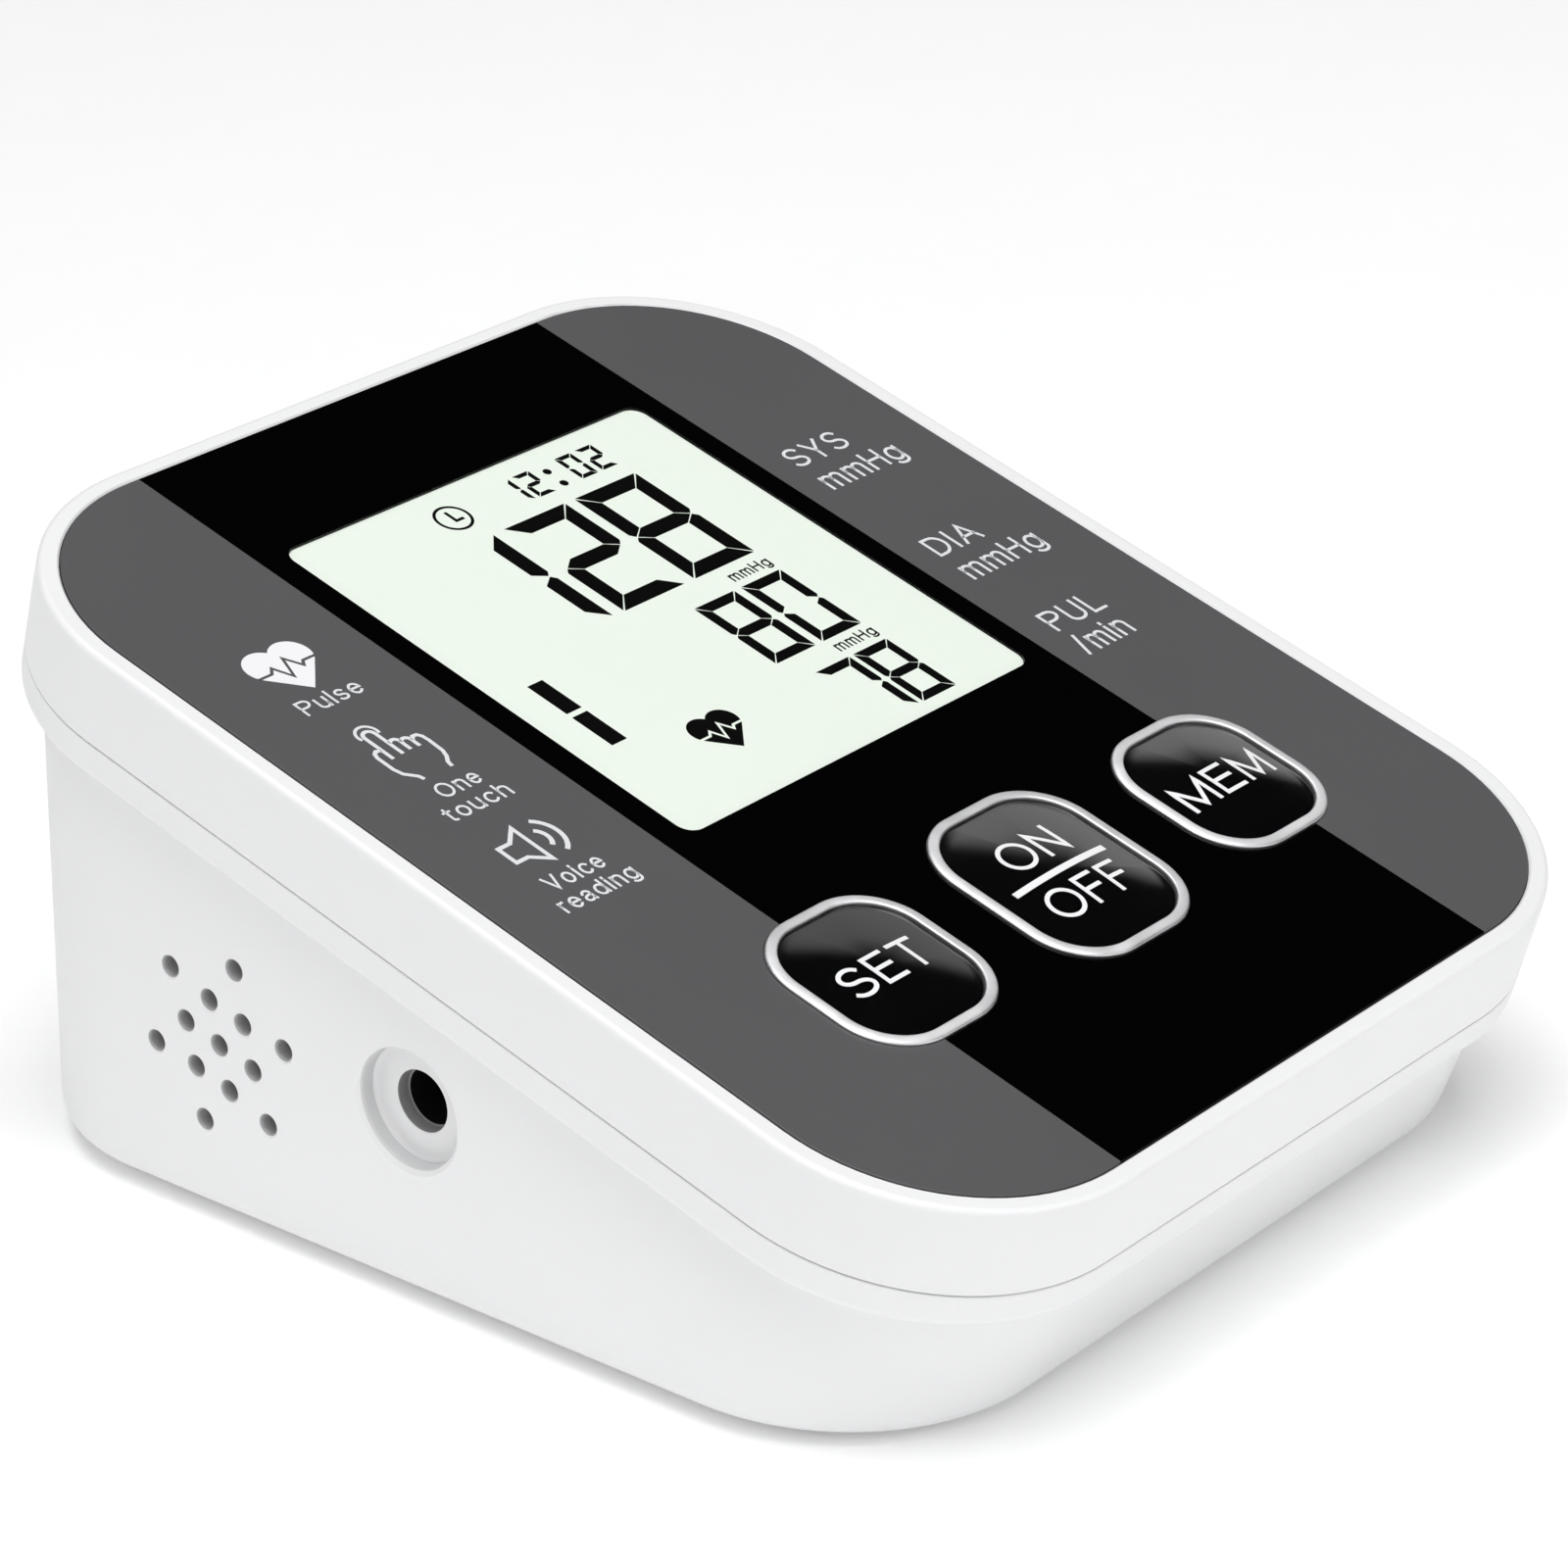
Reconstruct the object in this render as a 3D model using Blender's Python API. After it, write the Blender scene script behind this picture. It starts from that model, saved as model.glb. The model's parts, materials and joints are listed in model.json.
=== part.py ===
"""Upper arm blood pressure monitor: a wedge-shaped table unit with a tilted display panel.

World frame: X to the user's right, Y away from the user, Z up, ground at Z = 0.
Panel frame: u = X, v up the slope of the panel, n out of the panel; its origin is the panel centre.
Lengths are written in millimetres and scaled to metres when a mesh is made.
"""

import math

import bmesh
import bpy
from mathutils import Matrix, Vector

MM = 0.001
GAP = 0.3
CORNER_STEPS = 9

# Stance of the panel and the ground.
PANEL_TILT = math.radians(17.0)
PANEL_CENTRE_Z = 44.7
CASE_BOTTOM_Z = 0.8

# Panel outline: the upper case rim and the printed faceplate set flush in it.
RIM_HALF_U = 52.3
RIM_HALF_V = 64.0
RIM_RADIUS = 22.5
FACE_HALF_U = 50.0
FACE_HALF_V = 61.95
FACE_RADIUS = 20.3
FACE_THICKNESS = 1.5
DECK_TOP_N = -1.8
DECK_BOTTOM_N = -4.0
SKIRT_WALL = 2.15
PARTING_N = -9.6
LIP_TOP_N = -8.1
LIP_INSET = 2.5
SKIRT_BOTTOM_N = -12.2
CREASE_N = -14.7
CREASE_INSET = 2.25

# Footprint of the lower case on the ground.
BASE_HALF_X = 51.2
BASE_FRONT_Y = -49.8
BASE_BACK_Y = 65.5
BASE_RADIUS = 21.0
BASE_EDGE_SIDE = 3.2
BASE_EDGE_FRONT = 1.2
CASE_WALL = 2.5
FLOOR_THICKNESS = 2.6

# Display.
LCD_CENTRE = (0.2, 18.45)
WINDOW_HALF = (25.5, 26.8)
WINDOW_RADIUS = 1.8
GLASS_HALF = (28.7, 30.2)
GLASS_TOP_N = -1.9
GLASS_THICKNESS = 2.2
BACKLIGHT_HALF = (28.0, 26.6)
BACKLIGHT_BOTTOM_N = -8.2

# Circuit board, held under the deck on four posts.
PCB_HALF_U = 34.0
PCB_FRONT_V = -49.0
PCB_BACK_V = 54.0
PCB_TOP_N = -11.0
PCB_THICKNESS = 1.6
POST_POINTS = ((-31.2, 51.2), (31.2, 51.2), (-31.2, -14.5), (31.2, -14.5))
POST_RADIUS = 2.2
POST_TIP_RADIUS = 1.2

# Keys: name, centre u, centre v, half width, half height of the ring, corner radius.
KEYS = (
    ("set_key", -25.7, -32.0, 9.4, 9.75, 6.9),
    ("power_key", 0.0, -32.2, 10.1, 11.6, 7.1),
    ("memory_key", 25.7, -32.0, 9.4, 9.75, 6.9),
)
RING_WIDTH = 1.1
RING_PROUD = 0.5
KEY_GAP = 0.25
KEY_STEPS = 7
FLANGE_TOP_N = -4.3
FLANGE_BOTTOM_N = -5.4
STEM_RADIUS = 2.0
STEM_BOTTOM_N = -6.3
PLUNGER_TOP_N = -6.6
PLUNGER_BOTTOM_N = -9.0
PLUNGER_RADIUS = 1.7
SWITCH_HALF = 3.0
SWITCH_TOP_N = -7.9

# Screws and feet.
SCREW_POINTS = ((-42.0, -36.0), (42.0, -36.0), (-42.0, 50.0), (42.0, 50.0))
TOWER_RADIUS = 4.6
BOSS_RADIUS = 3.2
WELL_RADIUS = 3.2
SCREW_HEAD_RADIUS = 2.7
SCREW_SHANK_RADIUS = 1.2
FOOT_POINTS = ((-33.0, -39.5), (33.0, -39.5), (-41.0, 37.0), (41.0, 37.0))
FOOT_RADIUS = 4.5
FOOT_HEIGHT = 2.0

# Battery bay with four AA cells.
BAY_HALF_X = 30.2
BAY_FRONT_Y = 3.0
BAY_BACK_Y = 60.0
BAY_TOP_Z = 17.9
BAY_WALL = 1.6
CELL_X = (-22.35, -7.45, 7.45, 22.35)
CELL_RADIUS = 7.1
CELL_LENGTH = 49.2
NUB_LENGTH = 1.2
NUB_RADIUS = 2.6
CELL_Z = 10.4
DOOR_TOP_Z = 2.8
CONTACT_THICKNESS = 0.5
DOOR_HINGE_Y = 59.7

# Loudspeaker behind the left wall.
SPEAKER_Y = 29.7
SPEAKER_Z = 19.4
SPEAKER_RADIUS = 11.0
GRILLE_HOLE_RADIUS = 0.95
GRILLE_RINGS = ((0.0, 0.0, 1), (4.55, 16.5, 6), (8.85, 46.5, 6))

# Air socket in the left wall.
SOCKET_Y = 5.2
SOCKET_Z = 20.4
SOCKET_HOLE_RADIUS = 5.9
SOCKET_FACE_X = -48.6
SOCKET_BORE_RADIUS = 3.05
SOCKET_BORE_END_X = -37.6
SOCKET_END_X = -35.8
BARB_RADIUS = 1.1
PASSAGE_RADIUS = 0.5
HOSE_BORE = 1.4
HOSE_RADIUS = 2.1
VALVE_BARB_X = -43.2
PUMP_BARB_X = -38.4
SENSOR_BARB_YZ = (7.2, 22.4)
SENSOR_PORT_X = -15.5
SENSOR_PORT_N = -15.2

# Air pump, lying across the case.
PUMP_Y = -12.5
PUMP_Z = 14.7
PUMP_RADIUS = 11.0
MOTOR_X = (3.3, 30.5)
HEAD_X = (-17.0, 3.0)
SHAFT_RADIUS = 0.95
RUNNING_FIT = 0.08

# Solenoid release valve.
VALVE_X = (-47.2, -37.2)
VALVE_Y = (-30.5, -16.0)
VALVE_Z = (15.0, 25.4)
ROD_RADIUS = 1.3

PANEL = Matrix.Translation((0.0, 0.0, PANEL_CENTRE_Z)) @ Matrix.Rotation(PANEL_TILT, 4, "X")
ALONG_X = Matrix.Rotation(math.radians(90.0), 4, "Y")
ALONG_Y = Matrix.Rotation(math.radians(-90.0), 4, "X")


def clear_scene():
    for item in list(bpy.data.objects):
        bpy.data.objects.remove(item, do_unlink=True)


def rounded_rectangle(half_x, half_y, radius, centre=(0.0, 0.0), steps=CORNER_STEPS):
    """Counter-clockwise outline, from the end of the right side round to it again."""
    outline = []
    corners = ((1, 1, 0.0), (-1, 1, 90.0), (-1, -1, 180.0), (1, -1, 270.0))
    for side_x, side_y, start in corners:
        corner_x = centre[0] + side_x * (half_x - radius)
        corner_y = centre[1] + side_y * (half_y - radius)
        for step in range(steps + 1):
            angle = math.radians(start + 90.0 * step / steps)
            outline.append((corner_x + radius * math.cos(angle), corner_y + radius * math.sin(angle)))
    return outline


def circle(radius, steps=24, centre=(0.0, 0.0)):
    outline = []
    for step in range(steps):
        angle = 2.0 * math.pi * step / steps
        outline.append((centre[0] + radius * math.cos(angle), centre[1] + radius * math.sin(angle)))
    return outline


def level(outline, height):
    return [Vector((x, y, height)) for x, y in outline]


def on_panel(outline, n):
    return [PANEL @ Vector((u, v, n)) for u, v in outline]


def add_loft(mesh, loops):
    """Closed body through loops of equal length, capped at both ends."""
    rows = [[mesh.verts.new(point) for point in loop] for loop in loops]
    count = len(rows[0])
    for lower, upper in zip(rows, rows[1:]):
        for index in range(count):
            following = (index + 1) % count
            mesh.faces.new((lower[index], lower[following], upper[following], upper[index]))
    mesh.faces.new(list(reversed(rows[0])))
    mesh.faces.new(rows[-1])


def add_prism(mesh, outline, low, high, frame=Matrix.Identity(4)):
    loops = [[frame @ point for point in level(outline, height)] for height in (low, high)]
    add_loft(mesh, loops)


def add_stack(mesh, sections, frame=Matrix.Identity(4), steps=24, centre=(0.0, 0.0)):
    """Turned body from (radius, height) sections along the frame's Z."""
    loops = []
    for radius, height in sections:
        loops.append([frame @ point for point in level(circle(radius, steps, centre), height)])
    add_loft(mesh, loops)


def add_box(mesh, low, high, frame=Matrix.Identity(4)):
    outline = [(low[0], low[1]), (high[0], low[1]), (high[0], high[1]), (low[0], high[1])]
    add_prism(mesh, outline, low[2], high[2], frame)


def add_tube(mesh, path, outer, inner, steps=10):
    """Hollow sweep of a round section along a smooth path of points."""
    frames = sweep_frames(path)
    rows = []
    for radius in (outer, inner):
        rings = []
        for point, side, up in frames:
            ring = []
            for step in range(steps):
                angle = 2.0 * math.pi * step / steps
                offset = math.cos(angle) * side + math.sin(angle) * up
                ring.append(mesh.verts.new(point + radius * offset))
            rings.append(ring)
        rows.append(rings)
    outside, inside = rows
    for index in range(steps):
        following = (index + 1) % steps
        for first, second in zip(outside, outside[1:]):
            mesh.faces.new((first[index], first[following], second[following], second[index]))
        for first, second in zip(inside, inside[1:]):
            mesh.faces.new((first[following], first[index], second[index], second[following]))
        for outer_ring, inner_ring in ((outside[0], inside[0]), (outside[-1], inside[-1])):
            mesh.faces.new((outer_ring[following], outer_ring[index], inner_ring[index], inner_ring[following]))


def add_sweep(mesh, path, section):
    """Solid sweep of a small (side, up) section along a path of points."""
    loops = []
    for point, side, up in sweep_frames(path):
        loops.append([point + x * side + y * up for x, y in section])
    add_loft(mesh, loops)


def sweep_frames(path):
    """A point, side and up vector for each path point, carried along without twist."""
    points = [Vector(point) for point in path]
    frames = []
    side = None
    for index, point in enumerate(points):
        before = points[max(index - 1, 0)]
        after = points[min(index + 1, len(points) - 1)]
        tangent = (after - before).normalized()
        if side is None:
            helper = Vector((0.0, 1.0, 0.0)) if abs(tangent.y) < 0.8 else Vector((1.0, 0.0, 0.0))
            side = helper
        side = (side - tangent * side.dot(tangent)).normalized()
        frames.append((point, side, tangent.cross(side)))
    return frames


def smooth_path(knots, steps=6):
    """Catmull-Rom points through the knots."""
    points = [Vector(knot) for knot in knots]
    padded = [2 * points[0] - points[1]] + points + [2 * points[-1] - points[-2]]
    path = []
    for index in range(1, len(padded) - 2):
        p0, p1, p2, p3 = padded[index - 1:index + 3]
        for step in range(steps):
            t = step / steps
            point = 2 * p1 + (p2 - p0) * t + (2 * p0 - 5 * p1 + 4 * p2 - p3) * t ** 2
            path.append(0.5 * (point + (3 * p1 - p0 - 3 * p2 + p3) * t ** 3))
    path.append(points[-1])
    return path


def make_object(name, build):
    """New object whose mesh is filled by build(bmesh) in millimetres."""
    mesh = bmesh.new()
    build(mesh)
    bmesh.ops.recalc_face_normals(mesh, faces=mesh.faces[:])
    mesh.transform(Matrix.Scale(MM, 4))
    data = bpy.data.meshes.new(name)
    mesh.to_mesh(data)
    mesh.free()
    item = bpy.data.objects.new(name, data)
    bpy.context.scene.collection.objects.link(item)
    return item


def combine(item, build, operation):
    """Boolean with a second solid, given as an object or as its build function; the solid is used up."""
    other = build if isinstance(build, bpy.types.Object) else make_object("other", build)
    modifier = item.modifiers.new("combine", "BOOLEAN")
    modifier.operation = operation
    modifier.solver = "EXACT"
    modifier.object = other
    bpy.context.view_layer.update()
    evaluated = item.evaluated_get(bpy.context.evaluated_depsgraph_get())
    result = bpy.data.meshes.new_from_object(evaluated)
    item.modifiers.clear()
    old = item.data
    item.data = result
    bpy.data.meshes.remove(old)
    result.name = item.name
    other_mesh = other.data
    bpy.data.objects.remove(other, do_unlink=True)
    bpy.data.meshes.remove(other_mesh)


def finish(item, colour, roughness, metallic=0.0, origin=None, sharp=35.0, alpha=1.0):
    """Material, shading and, for a moving piece, an origin on its joint axis."""
    material = bpy.data.materials.new(item.name)
    material.use_nodes = True
    shader = material.node_tree.nodes["Principled BSDF"]
    shader.inputs["Base Color"].default_value = (*colour, 1.0)
    shader.inputs["Roughness"].default_value = roughness
    shader.inputs["Metallic"].default_value = metallic
    shader.inputs["Alpha"].default_value = alpha
    item.data.materials.clear()
    item.data.materials.append(material)
    item.data.shade_smooth()
    item.data.set_sharp_from_angle(angle=math.radians(sharp))
    if origin is not None:
        place = Vector(origin) * MM
        item.data.transform(Matrix.Translation(-place))
        item.location = place


WHITE = (0.86, 0.86, 0.86)
BLACK = (0.01, 0.01, 0.01)
STEEL = (0.62, 0.62, 0.62)
CHROME = (0.85, 0.85, 0.86)
RUBBER = (0.08, 0.08, 0.08)
BOARD = (0.02, 0.16, 0.06)


# ---------------------------------------------------------------- housing

def rim_outline(inset):
    return rounded_rectangle(RIM_HALF_U - inset, RIM_HALF_V - inset, RIM_RADIUS - inset)


def upper_case_loops():
    edge = 0.6
    loops = []
    for step in range(5):
        angle = math.radians(90.0 * step / 4)
        loops.append(on_panel(rim_outline(edge * (1 - math.sin(angle))), -edge * (1 - math.cos(angle))))
    for inset, n in ((-0.06, -2.4), (-0.08, -4.4), (-0.06, PARTING_N + 0.25), (0.12, PARTING_N)):
        loops.append(on_panel(rim_outline(inset), n))
    return loops


def build_upper_case():
    case = make_object("upper_case", lambda mesh: add_loft(mesh, upper_case_loops()))

    def interior(mesh):
        outline = rim_outline(SKIRT_WALL)
        add_loft(mesh, [on_panel(outline, n) for n in (DECK_BOTTOM_N, PARTING_N - 1.0)])

    combine(case, interior, "DIFFERENCE")

    def bosses_and_posts(mesh):
        for x, y in SCREW_POINTS:
            deck_z = deck_height(y)
            add_prism(mesh, circle(BOSS_RADIUS, 20, (x, y)), boss_bottom(y), deck_z)
        for u, v in POST_POINTS:
            sections = ((POST_TIP_RADIUS, -14.0), (POST_TIP_RADIUS, PCB_TOP_N + GAP),
                        (POST_RADIUS, PCB_TOP_N + GAP), (POST_RADIUS, DECK_BOTTOM_N + 0.8))
            add_stack(mesh, sections, PANEL, 16, (u, v))

    combine(case, bosses_and_posts, "UNION")

    def openings(mesh):
        face = rounded_rectangle(FACE_HALF_U + GAP, FACE_HALF_V + GAP, FACE_RADIUS + GAP)
        add_prism(mesh, face, DECK_TOP_N, 1.0, PANEL)

    combine(case, openings, "DIFFERENCE")

    def deck_openings(mesh):
        glass = rounded_rectangle(GLASS_HALF[0] + GAP, GLASS_HALF[1] + GAP, 0.9, LCD_CENTRE, 2)
        add_prism(mesh, glass, DECK_BOTTOM_N - 1.0, DECK_TOP_N + 1.0, PANEL)
        for name, u, v, half_u, half_v, radius in KEYS:
            outline = rounded_rectangle(half_u - RING_WIDTH + 0.1, half_v - RING_WIDTH + 0.1,
                                        radius - RING_WIDTH + 0.1, (u, v), KEY_STEPS)
            add_prism(mesh, outline, DECK_BOTTOM_N - 1.0, DECK_TOP_N + 1.0, PANEL)
        for x, y in SCREW_POINTS:
            add_prism(mesh, circle(SCREW_SHANK_RADIUS + GAP, 14, (x, y)),
                      boss_bottom(y) - 1.0, boss_bottom(y) + 9.0)

    combine(case, deck_openings, "DIFFERENCE")
    finish(case, WHITE, 0.32)


def deck_height(y):
    """Middle of the deck's thickness, straight above a ground point."""
    n = 0.5 * (DECK_TOP_N + DECK_BOTTOM_N)
    v = (y + n * math.sin(PANEL_TILT)) / math.cos(PANEL_TILT)
    return PANEL_CENTRE_Z + v * math.sin(PANEL_TILT) + n * math.cos(PANEL_TILT)


def boss_bottom(y):
    return 15.0 if y < 0 else 30.0


def base_outline(inset, steps=CORNER_STEPS):
    half_y = 0.5 * (BASE_BACK_Y - BASE_FRONT_Y)
    middle = 0.5 * (BASE_BACK_Y + BASE_FRONT_Y)
    return rounded_rectangle(BASE_HALF_X - inset, half_y - inset, BASE_RADIUS - inset, (0.0, middle), steps)


def wall_loops():
    """Straight wall from the crease under the rim to the rounded lower edge of the case."""
    crease = on_panel(rim_outline(CREASE_INSET), CREASE_N)
    ground = level(base_outline(0.0), CASE_BOTTOM_Z)
    count = len(ground)
    loops = [crease]
    loops.append([top.lerp(foot, 0.5) for top, foot in zip(crease, ground)])
    for step in range(6):
        angle = math.radians(90.0 * step / 5)
        loop = []
        for index, (top, foot) in enumerate(zip(crease, ground)):
            along = (ground[(index + 1) % count] - ground[index - 1]).normalized()
            outward = Vector((along.y, -along.x, 0.0))
            facing = max(0.0, -outward.y) ** 2
            edge = BASE_EDGE_SIDE + (BASE_EDGE_FRONT - BASE_EDGE_SIDE) * facing
            share = 1.0 - edge * (1 - math.sin(angle)) / (top.z - foot.z)
            loop.append(top.lerp(foot, share) - outward * edge * (1 - math.cos(angle)))
        loops.append(loop)
    return loops


def lower_case_loops():
    loops = [on_panel(rim_outline(LIP_INSET), n) for n in (LIP_TOP_N, PARTING_N - GAP)]
    profile = ((0.12, PARTING_N - GAP), (-0.06, PARTING_N - GAP - 0.25), (-0.06, SKIRT_BOTTOM_N),
               (0.15, -12.75), (0.6, -13.2), (1.25, -13.5), (1.8, -13.7), (2.12, -14.05))
    loops += [on_panel(rim_outline(inset), n) for inset, n in profile]
    return loops + wall_loops()


def cavity_loops():
    loops = [on_panel(rim_outline(LIP_INSET + 1.1), n) for n in (LIP_TOP_N + 1.0, SKIRT_BOTTOM_N)]
    loops.append(on_panel(rim_outline(CREASE_INSET + 2.3), CREASE_N - 0.5))
    loops.append(level(base_outline(CASE_WALL), CASE_BOTTOM_Z + FLOOR_THICKNESS))
    return loops


def tower_top(y):
    return boss_bottom(y) - GAP


def head_seat(y):
    return 8.4 if y < 0 else 23.4


def build_lower_case():
    case = make_object("lower_case", lambda mesh: add_loft(mesh, lower_case_loops()))
    cavity = make_object("cavity", lambda mesh: add_loft(mesh, cavity_loops()))
    for keep in (add_bay_block, add_towers, add_saddles):
        combine(cavity, keep, "DIFFERENCE")
    combine(case, cavity, "DIFFERENCE")

    combine(case, add_bay_cuts, "DIFFERENCE")
    combine(case, add_well_cuts, "DIFFERENCE")
    combine(case, add_wall_cuts, "DIFFERENCE")
    finish(case, WHITE, 0.36)


def add_bay_block(mesh):
    add_box(mesh, (-BAY_HALF_X - BAY_WALL, BAY_FRONT_Y - BAY_WALL, -5.0),
            (BAY_HALF_X + BAY_WALL, BAY_BACK_Y + BAY_WALL, BAY_TOP_Z + BAY_WALL))


def add_towers(mesh):
    """Screw towers, the block under the valve and the thick ring round the air socket."""
    for x, y in SCREW_POINTS:
        add_prism(mesh, circle(TOWER_RADIUS, 20, (x, y)), -5.0, tower_top(y))
    add_box(mesh, (-46.4, VALVE_Y[0] + 1.2, -5.0), (-38.4, VALVE_Y[1] - 2.0, VALVE_Z[0] - GAP))
    socket = Matrix.Translation((0.0, SOCKET_Y, SOCKET_Z)) @ ALONG_X
    add_prism(mesh, circle(9.0, 24), -56.0, -47.5, socket)


def add_saddles(mesh):
    """Two ribs shaped to the pump's underside."""
    steps = 10
    for x in (9.0, 26.0):
        outline = [(PUMP_Y - 9.0, -5.0)]
        for step in range(steps + 1):
            angle = math.radians(235.0 + 70.0 * step / steps)
            radius = PUMP_RADIUS + GAP
            outline.append((PUMP_Y + radius * math.cos(angle), PUMP_Z + radius * math.sin(angle)))
        outline.append((PUMP_Y + 9.0, -5.0))
        outline.reverse()
        loops = [[Vector((side, y, z)) for y, z in outline] for side in (x, x + 2.0)]
        add_loft(mesh, loops)


def add_bay_cuts(mesh):
    add_box(mesh, (-BAY_HALF_X, BAY_FRONT_Y, -2.0), (BAY_HALF_X, BAY_BACK_Y, BAY_TOP_Z))


def add_well_cuts(mesh):
    shank = SCREW_SHANK_RADIUS + GAP
    for x, y in SCREW_POINTS:
        sections = ((WELL_RADIUS, -1.0), (WELL_RADIUS, head_seat(y)), (shank, head_seat(y)),
                    (shank, tower_top(y) + 1.0))
        add_stack(mesh, sections, Matrix.Identity(4), 20, (x, y))
    for x, y in FOOT_POINTS:
        add_prism(mesh, circle(FOOT_RADIUS + GAP, 24, (x, y)), -1.0, FOOT_HEIGHT + GAP)
    for side in (-1, 1):
        add_box(mesh, (side * 21.0 - 3.6, BAY_BACK_Y - 1.0, 1.5),
                (side * 21.0 + 3.6, BAY_BACK_Y + 2.4, 5.0))
    for x in (CELL_X[0], CELL_X[3]):
        add_box(mesh, (x - 1.9, BAY_FRONT_Y, BAY_TOP_Z - 1.0),
                (x + 1.9, BAY_FRONT_Y + 1.3, BAY_TOP_Z + BAY_WALL + 1.0))


def add_wall_cuts(mesh):
    grille = Matrix.Translation((0.0, SPEAKER_Y, SPEAKER_Z)) @ ALONG_X
    for radius, start, count in GRILLE_RINGS:
        for index in range(count):
            angle = math.radians(start + 360.0 * index / count)
            # In this frame local X points down and local Y points to the back.
            centre = (-radius * math.sin(angle), radius * math.cos(angle))
            add_prism(mesh, circle(GRILLE_HOLE_RADIUS, 12, centre), -56.0, -46.0, grille)
    socket = Matrix.Translation((0.0, SOCKET_Y, SOCKET_Z)) @ ALONG_X
    add_prism(mesh, circle(SOCKET_HOLE_RADIUS, 32), -56.0, -46.0, socket)


def build_battery_door():
    def plate(mesh):
        outline = rounded_rectangle(BAY_HALF_X - GAP, 0.5 * (DOOR_HINGE_Y - BAY_FRONT_Y - GAP), 1.5,
                                    (0.0, 0.5 * (DOOR_HINGE_Y + BAY_FRONT_Y + GAP)), 3)
        add_prism(mesh, outline, CASE_BOTTOM_Z, DOOR_TOP_Z)

    door = make_object("battery_door", plate)

    def tabs(mesh):
        for side in (-1, 1):
            add_box(mesh, (side * 21.0 - 3.0, DOOR_HINGE_Y - 2.0, 1.9),
                    (side * 21.0 + 3.0, DOOR_HINGE_Y + 1.6, 2.7))

    combine(door, tabs, "UNION")

    def grip(mesh):
        for index in range(5):
            y = 7.0 + 1.6 * index
            add_box(mesh, (-9.0, y, 0.0), (9.0, y + 0.8, CASE_BOTTOM_Z + 0.6))

    combine(door, grip, "DIFFERENCE")
    finish(door, WHITE, 0.38, origin=(0.0, DOOR_HINGE_Y, CASE_BOTTOM_Z))


def build_faceplate():
    outline = rounded_rectangle(FACE_HALF_U, FACE_HALF_V, FACE_RADIUS)

    def plate(mesh):
        inner = rounded_rectangle(FACE_HALF_U - 0.15, FACE_HALF_V - 0.15, FACE_RADIUS - 0.15)
        loops = [on_panel(outline, -FACE_THICKNESS), on_panel(outline, -0.15), on_panel(inner, 0.0)]
        add_loft(mesh, loops)

    face = make_object("faceplate", plate)

    def openings(mesh):
        window = rounded_rectangle(WINDOW_HALF[0], WINDOW_HALF[1], WINDOW_RADIUS, LCD_CENTRE, 6)
        add_prism(mesh, window, -3.0, 1.0, PANEL)
        for name, u, v, half_u, half_v, radius in KEYS:
            hole = rounded_rectangle(half_u + GAP, half_v + GAP, radius + GAP, (u, v), KEY_STEPS)
            add_prism(mesh, hole, -3.0, 1.0, PANEL)

    combine(face, openings, "DIFFERENCE")
    finish(face, BLACK, 0.12)


def build_feet():
    for index, (x, y) in enumerate(FOOT_POINTS):
        sections = ((FOOT_RADIUS - 0.4, 0.0), (FOOT_RADIUS, 0.4), (FOOT_RADIUS, FOOT_HEIGHT))
        foot = make_object(f"foot_{index + 1}", lambda mesh: add_stack(mesh, sections, centre=(x, y)))
        finish(foot, RUBBER, 0.85)


def build_case_screws():
    for index, (x, y) in enumerate(SCREW_POINTS):
        seat = head_seat(y)
        sections = ((SCREW_HEAD_RADIUS - 0.5, seat - 2.3), (SCREW_HEAD_RADIUS, seat - 1.6),
                    (SCREW_HEAD_RADIUS, seat - GAP), (SCREW_SHANK_RADIUS, seat - GAP),
                    (SCREW_SHANK_RADIUS, boss_bottom(y) + 7.2), (0.3, boss_bottom(y) + 8.4))
        screw = make_object(f"case_screw_{index + 1}",
                            lambda mesh: add_stack(mesh, sections, steps=12, centre=(x, y)))
        for half_x, half_y in ((1.5, 0.3), (0.3, 1.5)):
            combine(screw, lambda mesh: add_box(mesh, (x - half_x, y - half_y, seat - 3.0),
                                                (x + half_x, y + half_y, seat - 1.3)), "DIFFERENCE")
        finish(screw, STEEL, 0.35, 1.0)


# ---------------------------------------------------------------- keys and switches

def key_outline(key, inset):
    """Outline of a key's ring, drawn in by the inset."""
    name, u, v, half_u, half_v, radius = key
    return rounded_rectangle(half_u - inset, half_v - inset, max(radius - inset, 0.9), (u, v), KEY_STEPS)


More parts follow.
